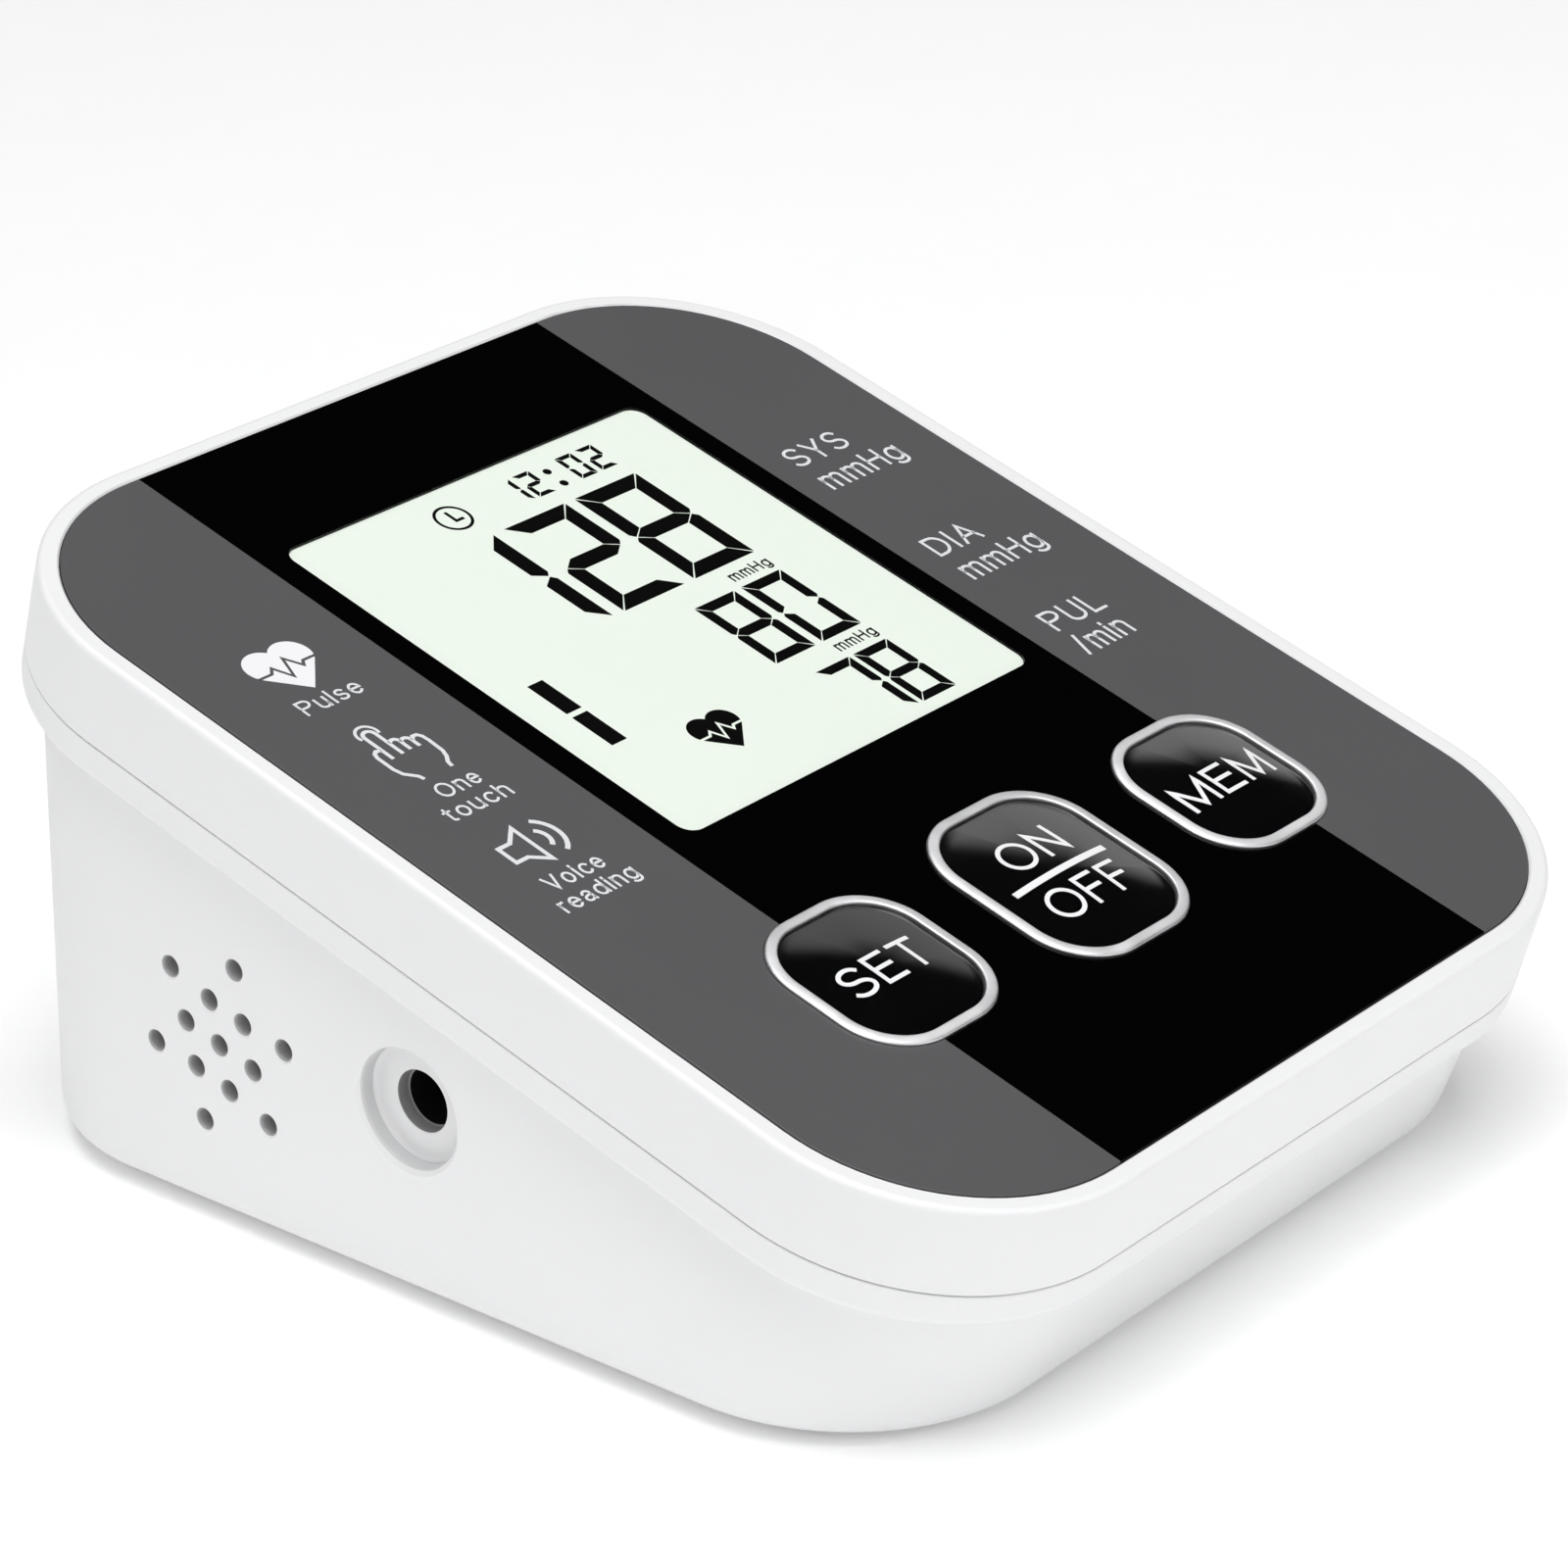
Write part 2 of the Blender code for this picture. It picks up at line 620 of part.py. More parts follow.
def build_keys():
    for key in KEYS:
        name, u, v = key[:3]
        stem = name.replace("_key", "")

        def ring(mesh):
            loops = [on_panel(key_outline(key, 0.0), n) for n in (-FACE_THICKNESS, RING_PROUD - 0.35)]
            loops.append(on_panel(key_outline(key, 0.3), RING_PROUD))
            add_loft(mesh, loops)

        frame = make_object(f"{stem}_ring", ring)

        def bore(mesh):
            loops = [on_panel(key_outline(key, RING_WIDTH), n) for n in (-3.0, RING_PROUD - 0.3)]
            loops += [on_panel(key_outline(key, RING_WIDTH - 0.25), n) for n in (RING_PROUD + 0.0001, 2.0)]
            add_loft(mesh, loops)

        combine(frame, bore, "DIFFERENCE")
        finish(frame, CHROME, 0.12, 1.0)

        def cap(mesh):
            loops = [on_panel(key_outline(key, -0.3), n) for n in (FLANGE_BOTTOM_N, FLANGE_TOP_N)]
            for inset, n in ((0.0, FLANGE_TOP_N), (0.0, 0.05), (0.35, 0.32), (1.6, 0.52), (4.0, 0.66)):
                loops.append(on_panel(key_outline(key, RING_WIDTH + KEY_GAP + inset), n))
            add_loft(mesh, loops)

        button = make_object(name, cap)

        def foot(mesh):
            add_stack(mesh, ((STEM_RADIUS, STEM_BOTTOM_N), (STEM_RADIUS, FLANGE_BOTTOM_N + 0.5)),
                      PANEL, 16, (u, v))

        combine(button, foot, "UNION")
        finish(button, BLACK, 0.1, origin=PANEL @ Vector((u, v, 0.0)))

        def switch(mesh):
            add_box(mesh, (u - SWITCH_HALF, v - SWITCH_HALF, PCB_TOP_N + GAP),
                    (u + SWITCH_HALF, v + SWITCH_HALF, SWITCH_TOP_N), PANEL)

        body = make_object(f"{stem}_switch", switch)

        def pocket(mesh):
            wide = PLUNGER_RADIUS + RUNNING_FIT
            add_stack(mesh, ((wide, PLUNGER_BOTTOM_N - 0.8), (wide, SWITCH_TOP_N + 1.0)), PANEL, 16, (u, v))

        combine(body, pocket, "DIFFERENCE")
        finish(body, (0.05, 0.05, 0.05), 0.5)

        def plunger(mesh):
            add_stack(mesh, ((PLUNGER_RADIUS, PLUNGER_BOTTOM_N), (PLUNGER_RADIUS, PLUNGER_TOP_N - 0.3),
                             (PLUNGER_RADIUS - 0.3, PLUNGER_TOP_N)), PANEL, 16, (u, v))

        piece = make_object(f"{stem}_plunger", plunger)
        finish(piece, (0.5, 0.12, 0.08), 0.45, origin=PANEL @ Vector((u, v, PLUNGER_TOP_N)))


# ---------------------------------------------------------------- display and board

def build_display():
    def lens(mesh):
        outline = rounded_rectangle(WINDOW_HALF[0] - 0.1, WINDOW_HALF[1] - 0.1, WINDOW_RADIUS - 0.1,
                                    LCD_CENTRE, 6)
        add_prism(mesh, outline, -FACE_THICKNESS, -0.05, PANEL)

    window = make_object("display_lens", lens)
    finish(window, (0.9, 0.93, 0.9), 0.05, alpha=0.35)

    def glass(mesh):
        outline = rounded_rectangle(GLASS_HALF[0], GLASS_HALF[1], 0.6, LCD_CENTRE, 2)
        add_prism(mesh, outline, GLASS_TOP_N - GLASS_THICKNESS, GLASS_TOP_N, PANEL)

    panel = make_object("lcd_glass", glass)
    finish(panel, (0.86, 0.95, 0.87), 0.2)

    def backlight(mesh):
        low = (LCD_CENTRE[0] - BACKLIGHT_HALF[0], LCD_CENTRE[1] - BACKLIGHT_HALF[1], BACKLIGHT_BOTTOM_N)
        high = (LCD_CENTRE[0] + BACKLIGHT_HALF[0], LCD_CENTRE[1] + BACKLIGHT_HALF[1],
                GLASS_TOP_N - GLASS_THICKNESS - GAP)
        add_box(mesh, low, high, PANEL)

    guide = make_object("lcd_backlight", backlight)
    finish(guide, (0.9, 0.9, 0.86), 0.4)

    def strip(mesh):
        back = LCD_CENTRE[1] + GLASS_HALF[1]
        add_box(mesh, (-26.0, back - 2.9, PCB_TOP_N + GAP),
                (26.4, back - 0.5, GLASS_TOP_N - GLASS_THICKNESS - GAP), PANEL)

    zebra = make_object("lcd_connector", strip)
    finish(zebra, (0.75, 0.45, 0.5), 0.6)


def build_board():
    middle = 0.5 * (PCB_FRONT_V + PCB_BACK_V)
    half_v = 0.5 * (PCB_BACK_V - PCB_FRONT_V)
    bottom = PCB_TOP_N - PCB_THICKNESS

    def board(mesh):
        outline = rounded_rectangle(PCB_HALF_U, half_v, 1.5, (0.0, middle), 3)
        add_prism(mesh, outline, bottom, PCB_TOP_N, PANEL)

    item = make_object("main_board", board)

    def holes(mesh):
        for u, v in POST_POINTS:
            add_prism(mesh, circle(POST_TIP_RADIUS + GAP, 16, (u, v)), bottom - 1.0, PCB_TOP_N + 1.0, PANEL)

    combine(item, holes, "DIFFERENCE")
    finish(item, BOARD, 0.45)

    chips = (
        ("controller_chip", (4.0, 24.0), (8.0, 8.0), 1.6),
        ("voice_chip", (-20.0, 34.0), (4.0, 5.2), 1.7),
    )
    for name, centre, half, height in chips:
        def chip(mesh):
            outline = rounded_rectangle(half[0], half[1], 0.6, centre, 2)
            add_prism(mesh, outline, bottom - GAP - height, bottom - GAP, PANEL)

        finish(make_object(name, chip), (0.03, 0.03, 0.035), 0.55)

    centre_v = sensor_port_v()

    def sensor(mesh):
        add_box(mesh, (-10.0, centre_v - 5.0, SENSOR_PORT_N - 2.6),
                (0.0, centre_v + 5.0, bottom - GAP), PANEL)

    item = make_object("pressure_sensor", sensor)

    def port(mesh):
        frame = PANEL @ Matrix.Translation((0.0, centre_v, SENSOR_PORT_N)) @ ALONG_X
        add_stack(mesh, ((BARB_RADIUS, SENSOR_PORT_X), (BARB_RADIUS, -9.0)), frame, 12)

    combine(item, port, "UNION")

    def bore(mesh):
        frame = PANEL @ Matrix.Translation((0.0, centre_v, SENSOR_PORT_N)) @ ALONG_X
        add_stack(mesh, ((PASSAGE_RADIUS, SENSOR_PORT_X - 1.0), (PASSAGE_RADIUS, -4.0)), frame, 8)

    combine(item, bore, "DIFFERENCE")
    finish(item, (0.1, 0.1, 0.11), 0.5)


def sensor_port_v():
    sine, cosine = math.sin(PANEL_TILT), math.cos(PANEL_TILT)
    return (SENSOR_BARB_YZ[0] + SENSOR_PORT_N * sine) / cosine


# ---------------------------------------------------------------- loudspeaker

def build_speaker():
    frame = Matrix.Translation((0.0, SPEAKER_Y, SPEAKER_Z)) @ ALONG_X

    def basket(mesh):
        sections = ((SPEAKER_RADIUS, -47.0), (SPEAKER_RADIUS, -44.6), (8.0, -43.0),
                    (6.0, -43.0), (6.0, -40.0))
        add_stack(mesh, sections, frame, 28)

    item = make_object("speaker_frame", basket)

    def well(mesh):
        inner = SPEAKER_RADIUS - 1.2
        add_stack(mesh, ((inner, -48.0), (inner, -45.4), (5.0, -43.4)), frame, 28)

    combine(item, well, "DIFFERENCE")
    finish(item, (0.12, 0.12, 0.13), 0.4, 0.6)

    def cone(mesh):
        rim = SPEAKER_RADIUS - 1.7
        front = ((0.6, -45.6), (3.5, -44.9), (rim, -46.6))
        rear = ((rim, -46.2), (3.6, -44.5), (0.6, -45.2))
        add_stack(mesh, front + rear, frame, 24)

    item = make_object("speaker_cone", cone)
    finish(item, (0.05, 0.05, 0.05), 0.7)


# ---------------------------------------------------------------- air pump and valve

def build_pump():
    frame = Matrix.Translation((0.0, PUMP_Y, PUMP_Z)) @ ALONG_X
    front, rear = MOTOR_X

    def can(mesh):
        sections = ((PUMP_RADIUS, front), (PUMP_RADIUS, rear - 1.0), (PUMP_RADIUS - 1.0, rear))
        add_stack(mesh, sections, frame, 28)

    motor = make_object("pump_motor", can)

    def hollow(mesh):
        bearing = SHAFT_RADIUS + RUNNING_FIT
        add_stack(mesh, ((bearing, front - 1.0), (bearing, front + 1.2), (PUMP_RADIUS - 1.0, front + 1.2),
                         (PUMP_RADIUS - 1.0, rear - 2.0)), frame, 28)

    combine(motor, hollow, "DIFFERENCE")
    finish(motor, STEEL, 0.3, 1.0)

    def rotor(mesh):
        sections = ((SHAFT_RADIUS, -4.0), (SHAFT_RADIUS, front + 2.4), (8.2, front + 2.4),
                    (8.2, rear - 4.0), (SHAFT_RADIUS, rear - 4.0), (SHAFT_RADIUS, rear - 2.6))
        add_stack(mesh, sections, frame, 20)

    shaft = make_object("pump_rotor", rotor)

    def crank(mesh):
        offset = frame @ Matrix.Translation((-2.0, 0.0, 0.0))
        add_stack(mesh, ((4.6, -5.6), (4.6, -1.0)), offset, 20)

    combine(shaft, crank, "UNION")
    finish(shaft, (0.55, 0.42, 0.25), 0.35, 0.9, origin=(0.0, PUMP_Y, PUMP_Z))

    def head(mesh):
        low, high = HEAD_X
        sections = ((PUMP_RADIUS - 0.8, low), (PUMP_RADIUS, low + 0.8), (PUMP_RADIUS, high))
        add_stack(mesh, sections, frame, 28)

    block = make_object("pump_head", head)

    def chamber(mesh):
        sections = ((PUMP_RADIUS - 1.6, -11.0), (PUMP_RADIUS - 1.6, 1.4), (2.0, 1.4), (2.0, 4.0))
        add_stack(mesh, sections, frame, 28)

    combine(block, chamber, "DIFFERENCE")
    outlet = Matrix.Translation((0.0, PUMP_Y, SOCKET_Z)) @ ALONG_X
    face = HEAD_X[0]
    combine(block, lambda mesh: add_stack(
        mesh, ((BARB_RADIUS, face - 5.5), (BARB_RADIUS, face + 2.0)), outlet, 12), "UNION")
    combine(block, lambda mesh: add_stack(
        mesh, ((PASSAGE_RADIUS, face - 6.5), (PASSAGE_RADIUS, face + 5.0)), outlet, 8), "DIFFERENCE")
    finish(block, (0.1, 0.1, 0.11), 0.45)

    def membrane(mesh):
        add_stack(mesh, ((PUMP_RADIUS - 1.9, -10.7), (PUMP_RADIUS - 1.9, -9.5), (5.5, -8.2), (2.0, -7.6),
                         (2.0, -6.2)), frame, 24)

    finish(make_object("pump_diaphragm", membrane), (0.55, 0.2, 0.12), 0.7)


def build_valve():
    front, back = VALVE_Y
    axis_x = 0.5 * (VALVE_X[0] + VALVE_X[1])
    axis_z = 0.5 * (VALVE_Z[0] + VALVE_Z[1])
    centre = Matrix.Translation((axis_x, 0.0, axis_z)) @ ALONG_Y
    nozzle = Matrix.Translation((VALVE_BARB_X, 0.0, SOCKET_Z)) @ ALONG_Y

    yoke = make_object("valve_yoke", lambda mesh: add_box(
        mesh, (VALVE_X[0], front, VALVE_Z[0]), (VALVE_X[1], back, VALVE_Z[1])))
    combine(yoke, lambda mesh: add_box(mesh, (VALVE_X[0] + 1.0, front + 1.0, VALVE_Z[0] - 1.0),
                                       (VALVE_X[1] - 1.0, back - 1.2, VALVE_Z[1] + 1.0)), "DIFFERENCE")
    combine(yoke, lambda mesh: add_stack(
        mesh, ((BARB_RADIUS, back - 0.6), (BARB_RADIUS, back + 5.0)), nozzle, 12), "UNION")
    combine(yoke, lambda mesh: add_stack(
        mesh, ((PASSAGE_RADIUS, back - 2.0), (PASSAGE_RADIUS, back + 6.0)), nozzle, 8), "DIFFERENCE")
    guide = ROD_RADIUS + RUNNING_FIT
    combine(yoke, lambda mesh: add_stack(mesh, ((guide, front - 1.0), (guide, front + 2.0)), centre, 16),
            "DIFFERENCE")
    finish(yoke, STEEL, 0.35, 1.0)

    def coil(mesh):
        add_stack(mesh, ((3.6, front + 1.3), (3.6, back - 3.2)), centre, 24)

    winding = make_object("valve_coil", coil)
    combine(winding, lambda mesh: add_stack(mesh, ((1.9, front), (1.9, back)), centre, 16), "DIFFERENCE")
    finish(winding, (0.45, 0.16, 0.06), 0.4, 0.6)

    def plunger(mesh):
        sections = ((ROD_RADIUS, front - 1.6), (ROD_RADIUS, back - 2.9),
                    (2.6, back - 2.9), (2.6, back - 2.3))
        add_stack(mesh, sections, centre, 16)

    finish(make_object("valve_plunger", plunger), STEEL, 0.3, 1.0,
           origin=(axis_x, back - 2.3, axis_z))


# ---------------------------------------------------------------- air path

def build_air_path():
    frame = Matrix.Translation((0.0, SOCKET_Y, SOCKET_Z)) @ ALONG_X

    def body(mesh):
        sections = ((SOCKET_HOLE_RADIUS - GAP, SOCKET_FACE_X), (SOCKET_HOLE_RADIUS - GAP, -47.2),
                    (8.4, -47.2), (8.4, -45.7), (4.5, -45.7), (4.5, SOCKET_END_X))
        add_stack(mesh, sections, frame, 32)

    socket = make_object("air_socket", body)

    def barbs(mesh):
        for x, tip in ((VALVE_BARB_X, -5.0), (PUMP_BARB_X, -4.2)):
            barb = Matrix.Translation((x, 0.0, SOCKET_Z)) @ ALONG_Y
            add_stack(mesh, ((BARB_RADIUS, tip), (BARB_RADIUS, SOCKET_Y - 3.6)), barb, 12)
        y, z = SENSOR_BARB_YZ
        barb = Matrix.Translation((0.0, y, z)) @ ALONG_X
        add_stack(mesh, ((BARB_RADIUS, SOCKET_END_X - 1.0), (BARB_RADIUS, SOCKET_END_X + 4.6)), barb, 12)

    combine(socket, barbs, "UNION")

    def bore(mesh):
        wide = SOCKET_BORE_RADIUS + 0.4
        sections = ((wide, SOCKET_FACE_X - 1.0), (wide, SOCKET_FACE_X),
                    (SOCKET_BORE_RADIUS, SOCKET_FACE_X + 0.4), (SOCKET_BORE_RADIUS, SOCKET_BORE_END_X))
        add_stack(mesh, sections, frame, 28)

    combine(socket, bore, "DIFFERENCE")

    def passages(mesh):
        for x in (VALVE_BARB_X, PUMP_BARB_X):
            barb = Matrix.Translation((x, 0.0, SOCKET_Z)) @ ALONG_Y
            add_stack(mesh, ((PASSAGE_RADIUS, -6.0), (PASSAGE_RADIUS, SOCKET_Y - 1.0)), barb, 8)
        y, z = SENSOR_BARB_YZ
        barb = Matrix.Translation((0.0, y, z)) @ ALONG_X
        add_stack(mesh, ((PASSAGE_RADIUS, SOCKET_BORE_END_X - 1.0),
                         (PASSAGE_RADIUS, SOCKET_END_X + 6.0)), barb, 8)

    combine(socket, passages, "DIFFERENCE")
    finish(socket, (0.80, 0.80, 0.80), 0.38)

    straight = [(VALVE_BARB_X, y, SOCKET_Z) for y in (0.3, -5.0, -10.5, -15.7)]
    hose = make_object("valve_hose", lambda mesh: add_tube(mesh, straight, HOSE_RADIUS, HOSE_BORE))
    finish(hose, (0.75, 0.75, 0.72), 0.5)

    bend = 8.0
    centre = (PUMP_BARB_X + bend, -4.5)
    path = [(PUMP_BARB_X, 0.3, SOCKET_Z)]
    for step in range(7):
        angle = math.radians(180.0 + 90.0 * step / 6)
        path.append((centre[0] + bend * math.cos(angle), centre[1] + bend * math.sin(angle), SOCKET_Z))
    path.append((HEAD_X[0] - GAP, centre[1] - bend, SOCKET_Z))
    hose = make_object("pump_hose", lambda mesh: add_tube(mesh, path, HOSE_RADIUS, HOSE_BORE))
    finish(hose, (0.75, 0.75, 0.72), 0.5)

    y, z = SENSOR_BARB_YZ
    end = PANEL @ Vector((SENSOR_PORT_X, sensor_port_v(), SENSOR_PORT_N))
    start_x = SOCKET_END_X + 4.8
    rise_path = [(SOCKET_END_X + GAP, y, z)]
    for step in range(9):
        share = step / 8
        x = start_x + (SENSOR_PORT_X - start_x) * share
        rise_path.append((x, y, z + (end.z - z) * 0.5 * (1 - math.cos(math.pi * share))))
    rise_path.append((-10.0 - GAP, y, end.z))
    hose = make_object("sensor_hose", lambda mesh: add_tube(mesh, rise_path, HOSE_RADIUS, HOSE_BORE))
    finish(hose, (0.75, 0.75, 0.72), 0.5)


# ---------------------------------------------------------------- power and wiring

def cell_ends(index):
    """Y of the flat (minus) face and the direction the nub points, for one cell."""
    reach = CONTACT_THICKNESS + 2 * GAP + NUB_LENGTH + CELL_LENGTH
    if index % 2 == 0:
        return BAY_BACK_Y - reach, 1
    return BAY_FRONT_Y + reach, -1


def build_cells():
    for index, x in enumerate(CELL_X):
        flat, direction = cell_ends(index)
        frame = Matrix.Translation((x, 0.0, CELL_Z)) @ ALONG_Y
        sections = ((CELL_RADIUS - 0.7, flat), (CELL_RADIUS, flat + direction * 0.7),
                    (CELL_RADIUS, flat + direction * (CELL_LENGTH - 0.7)),
                    (CELL_RADIUS - 0.7, flat + direction * CELL_LENGTH),
                    (NUB_RADIUS, flat + direction * CELL_LENGTH),
                    (NUB_RADIUS, flat + direction * (CELL_LENGTH + NUB_LENGTH)))
        cell = make_object(f"battery_{index + 1}", lambda mesh: add_stack(mesh, sections, frame, 18))
        finish(cell, (0.12, 0.13, 0.15), 0.3, 0.5)


def contact_spring(mesh, x, wall_y, direction):
    """Cone-shaped coil standing on a contact plate, its last turn towards the cell."""
    turns, per_turn = 2.5, 8
    length = BAY_BACK_Y - BAY_FRONT_Y - 2 * (CONTACT_THICKNESS + GAP) - CELL_LENGTH - NUB_LENGTH - 2 * GAP
    path = []
    for step in range(int(turns * per_turn) + 1):
        share = step / (turns * per_turn)
        angle = 2.0 * math.pi * turns * share
        radius = 4.6 - 1.8 * share
        y = wall_y + direction * (0.1 + (length - 0.6) * share)
        path.append((x + radius * math.cos(angle), y, CELL_Z + radius * math.sin(angle)))
    add_sweep(mesh, path, circle(0.4, 4))


def build_contacts():
    front = BAY_FRONT_Y + GAP
    back = BAY_BACK_Y - GAP
    half = 5.6
    # name, wall, first and last cell spanned, cell with a spring (or None)
    plates = (
        ("contact_negative", "front", 0, 0, 0),
        ("contact_front", "front", 1, 2, 2),
        ("contact_positive", "front", 3, 3, None),
        ("contact_back_1", "back", 0, 1, 1),
        ("contact_back_2", "back", 2, 3, 3),
    )
    for name, wall, first, last, sprung in plates:
        low_y = front if wall == "front" else back - CONTACT_THICKNESS
        high_y = low_y + CONTACT_THICKNESS
        low = (CELL_X[first] - half, low_y, CELL_Z - half)
        high = (CELL_X[last] + half, high_y, CELL_Z + half)
        item = make_object(name, lambda mesh: add_box(mesh, low, high))
        if sprung is not None:
            direction, face = (1, high_y) if wall == "front" else (-1, low_y)
            combine(item, lambda mesh: contact_spring(mesh, CELL_X[sprung], face, direction), "UNION")
        if first == last:
            x = CELL_X[first]
            combine(item, lambda mesh: add_box(mesh, (x - 1.5, low_y, CELL_Z + half - 1.0),
                                               (x + 1.5, high_y, BAY_TOP_Z + BAY_WALL + 1.2)), "UNION")
        finish(item, CHROME, 0.3, 1.0)


def under_board_z(y):
    n = PCB_TOP_N - PCB_THICKNESS - GAP
    v = (y + n * math.sin(PANEL_TILT)) / math.cos(PANEL_TILT)
    return PANEL_CENTRE_Z + v * math.sin(PANEL_TILT) + n * math.cos(PANEL_TILT)


def build_leads():
    tag_top = BAY_TOP_Z + BAY_WALL + 1.2 + GAP
    y = BAY_FRONT_Y + GAP + 0.5 * CONTACT_THICKNESS
    end = under_board_z(y - 1.4) - 0.3
    height = end - tag_top
    for name, x in (("lead_negative", CELL_X[0]), ("lead_positive", CELL_X[3])):
        knots = [(x, y, tag_top), (x, y, tag_top + 0.3 * height),
                 (x + 2.0, y - 1.2, tag_top + 0.6 * height),
                 (x + 2.5, y - 1.4, tag_top + 0.85 * height), (x + 2.5, y - 1.4, end)]
        wire = make_object(name, lambda mesh: add_sweep(mesh, smooth_path(knots, 3), circle(0.6, 8)))
        finish(wire, (0.5, 0.03, 0.03) if name.endswith("positive") else (0.02, 0.02, 0.02), 0.5)

    flat = [(-1.1, -0.5), (1.1, -0.5), (1.1, 0.5), (-1.1, 0.5)]
    rear = MOTOR_X[1] + GAP
    pump_end = under_board_z(PUMP_Y) - 0.5
    valve_y = -23.0
    valve_end = under_board_z(valve_y) - 0.5
    speaker_end = under_board_z(SPEAKER_Y) - 0.5
    routes = (
        ("pump_lead", [(rear, PUMP_Y, PUMP_Z), (rear + 1.4, PUMP_Y, PUMP_Z + 0.3),
                       (rear + 2.3, PUMP_Y, PUMP_Z + 4.5), (rear + 1.8, PUMP_Y, PUMP_Z + 9.0),
                       (rear + 1.4, PUMP_Y, pump_end)]),
        ("valve_lead", [(VALVE_X[1] + GAP, valve_y, 20.0), (VALVE_X[1] + 1.8, valve_y, 20.1),
                        (VALVE_X[1] + 3.8, valve_y, 21.2), (VALVE_X[1] + 5.2, valve_y, valve_end)]),
        ("speaker_lead", [(-39.6, SPEAKER_Y, SPEAKER_Z), (-38.0, SPEAKER_Y, SPEAKER_Z + 0.4),
                          (-36.0, SPEAKER_Y, SPEAKER_Z + 6.0), (-33.6, SPEAKER_Y, speaker_end - 8.0),
                          (-31.0, SPEAKER_Y, speaker_end)]),
    )
    for name, knots in routes:
        lead = make_object(name, lambda mesh: add_sweep(mesh, smooth_path(knots, 3), flat))
        finish(lead, (0.3, 0.3, 0.32), 0.5)


def centre_on_origin():
    """Move the whole unit along Y so that the origin is the centre of its footprint box."""
    reach = []
    for item in bpy.data.objects:
        for corner in item.data.vertices:
            reach.append(item.location.y + corner.co.y)
    middle = 0.5 * (min(reach) + max(reach))
    for item in bpy.data.objects:
        item.location.y -= middle


clear_scene()
build_upper_case()
build_lower_case()
build_battery_door()
build_faceplate()
build_feet()
build_case_screws()
build_keys()
build_display()
build_board()
build_speaker()
build_pump()
build_valve()
build_air_path()
build_cells()
build_contacts()
build_leads()
centre_on_origin()
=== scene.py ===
"""Looks of an upper arm blood pressure monitor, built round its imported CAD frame.

Lengths are in millimetres until a mesh is made. The panel frame has u to the right, v up the slope
and n out of the panel; the world frame is the CAD's own.
"""

import json
import math

import bmesh
import bpy
from mathutils import Matrix, Vector

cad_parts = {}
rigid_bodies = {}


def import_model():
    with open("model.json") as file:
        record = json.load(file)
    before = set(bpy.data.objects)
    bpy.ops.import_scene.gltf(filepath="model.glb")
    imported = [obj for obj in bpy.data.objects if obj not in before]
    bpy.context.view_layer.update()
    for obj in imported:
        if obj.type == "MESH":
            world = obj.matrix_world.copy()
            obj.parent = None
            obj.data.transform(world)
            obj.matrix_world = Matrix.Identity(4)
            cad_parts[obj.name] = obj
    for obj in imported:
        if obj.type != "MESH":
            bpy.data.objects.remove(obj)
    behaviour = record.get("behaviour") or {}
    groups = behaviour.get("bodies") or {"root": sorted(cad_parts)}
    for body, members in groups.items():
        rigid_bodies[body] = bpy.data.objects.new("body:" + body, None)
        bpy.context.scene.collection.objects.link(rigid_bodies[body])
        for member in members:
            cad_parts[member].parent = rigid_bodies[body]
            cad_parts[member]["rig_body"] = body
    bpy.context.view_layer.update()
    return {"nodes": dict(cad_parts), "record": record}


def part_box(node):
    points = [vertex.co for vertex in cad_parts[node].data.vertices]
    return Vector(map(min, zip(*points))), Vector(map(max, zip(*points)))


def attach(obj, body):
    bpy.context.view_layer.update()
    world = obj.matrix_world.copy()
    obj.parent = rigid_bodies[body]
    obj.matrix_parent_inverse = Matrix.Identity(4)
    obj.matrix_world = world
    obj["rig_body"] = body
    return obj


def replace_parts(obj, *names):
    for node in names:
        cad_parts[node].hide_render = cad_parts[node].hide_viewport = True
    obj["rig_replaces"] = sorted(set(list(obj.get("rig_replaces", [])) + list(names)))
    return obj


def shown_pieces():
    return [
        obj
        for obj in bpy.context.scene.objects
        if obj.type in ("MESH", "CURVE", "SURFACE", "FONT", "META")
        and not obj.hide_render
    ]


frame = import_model()

MM = 0.001
GAP = 0.3
CORNER_STEPS = 22
CASE = "case"

PANEL_TILT = math.radians(17.0)
PANEL_CENTRE_Z = 44.7
CASE_BOTTOM_Z = 0.8
RIM_HALF_U = 52.3
RIM_HALF_V = 64.0
RIM_RADIUS = 22.5
RIM_EDGE_RADIUS = 0.6
FACE_HALF_U = 50.0
FACE_HALF_V = 61.95
FACE_RADIUS = 20.3
FACE_THICKNESS = 1.5
BLACK_BAND_HALF = 28.45
DECK_TOP_N = -1.8
DECK_BOTTOM_N = -4.0
SKIRT_WALL = 2.15
PARTING_N = -9.6
PARTING_GAP = 0.06
LIP_TOP_N = -8.1
LIP_HALF_DROP = 2.5
SKIRT_BOTTOM_N = -12.2
FLANGE_ROLL = 1.25
CREASE_N = -14.7
CREASE_INSET = 2.25

BASE_HALF_X = 51.2
BASE_FRONT_Y = -49.8
BASE_BACK_Y = 65.5
BASE_RADIUS = 21.0
BASE_EDGE_SIDE = 3.2
BASE_EDGE_FRONT = 1.2
CASE_WALL = 2.5
FLOOR_THICKNESS = 2.6

LCD_CENTRE = (0.2, 18.45)
WINDOW_HALF = (25.5, 26.8)
WINDOW_RADIUS = 1.8
GLASS_HALF = (28.7, 30.2)
LCD_FACE_N = -0.3
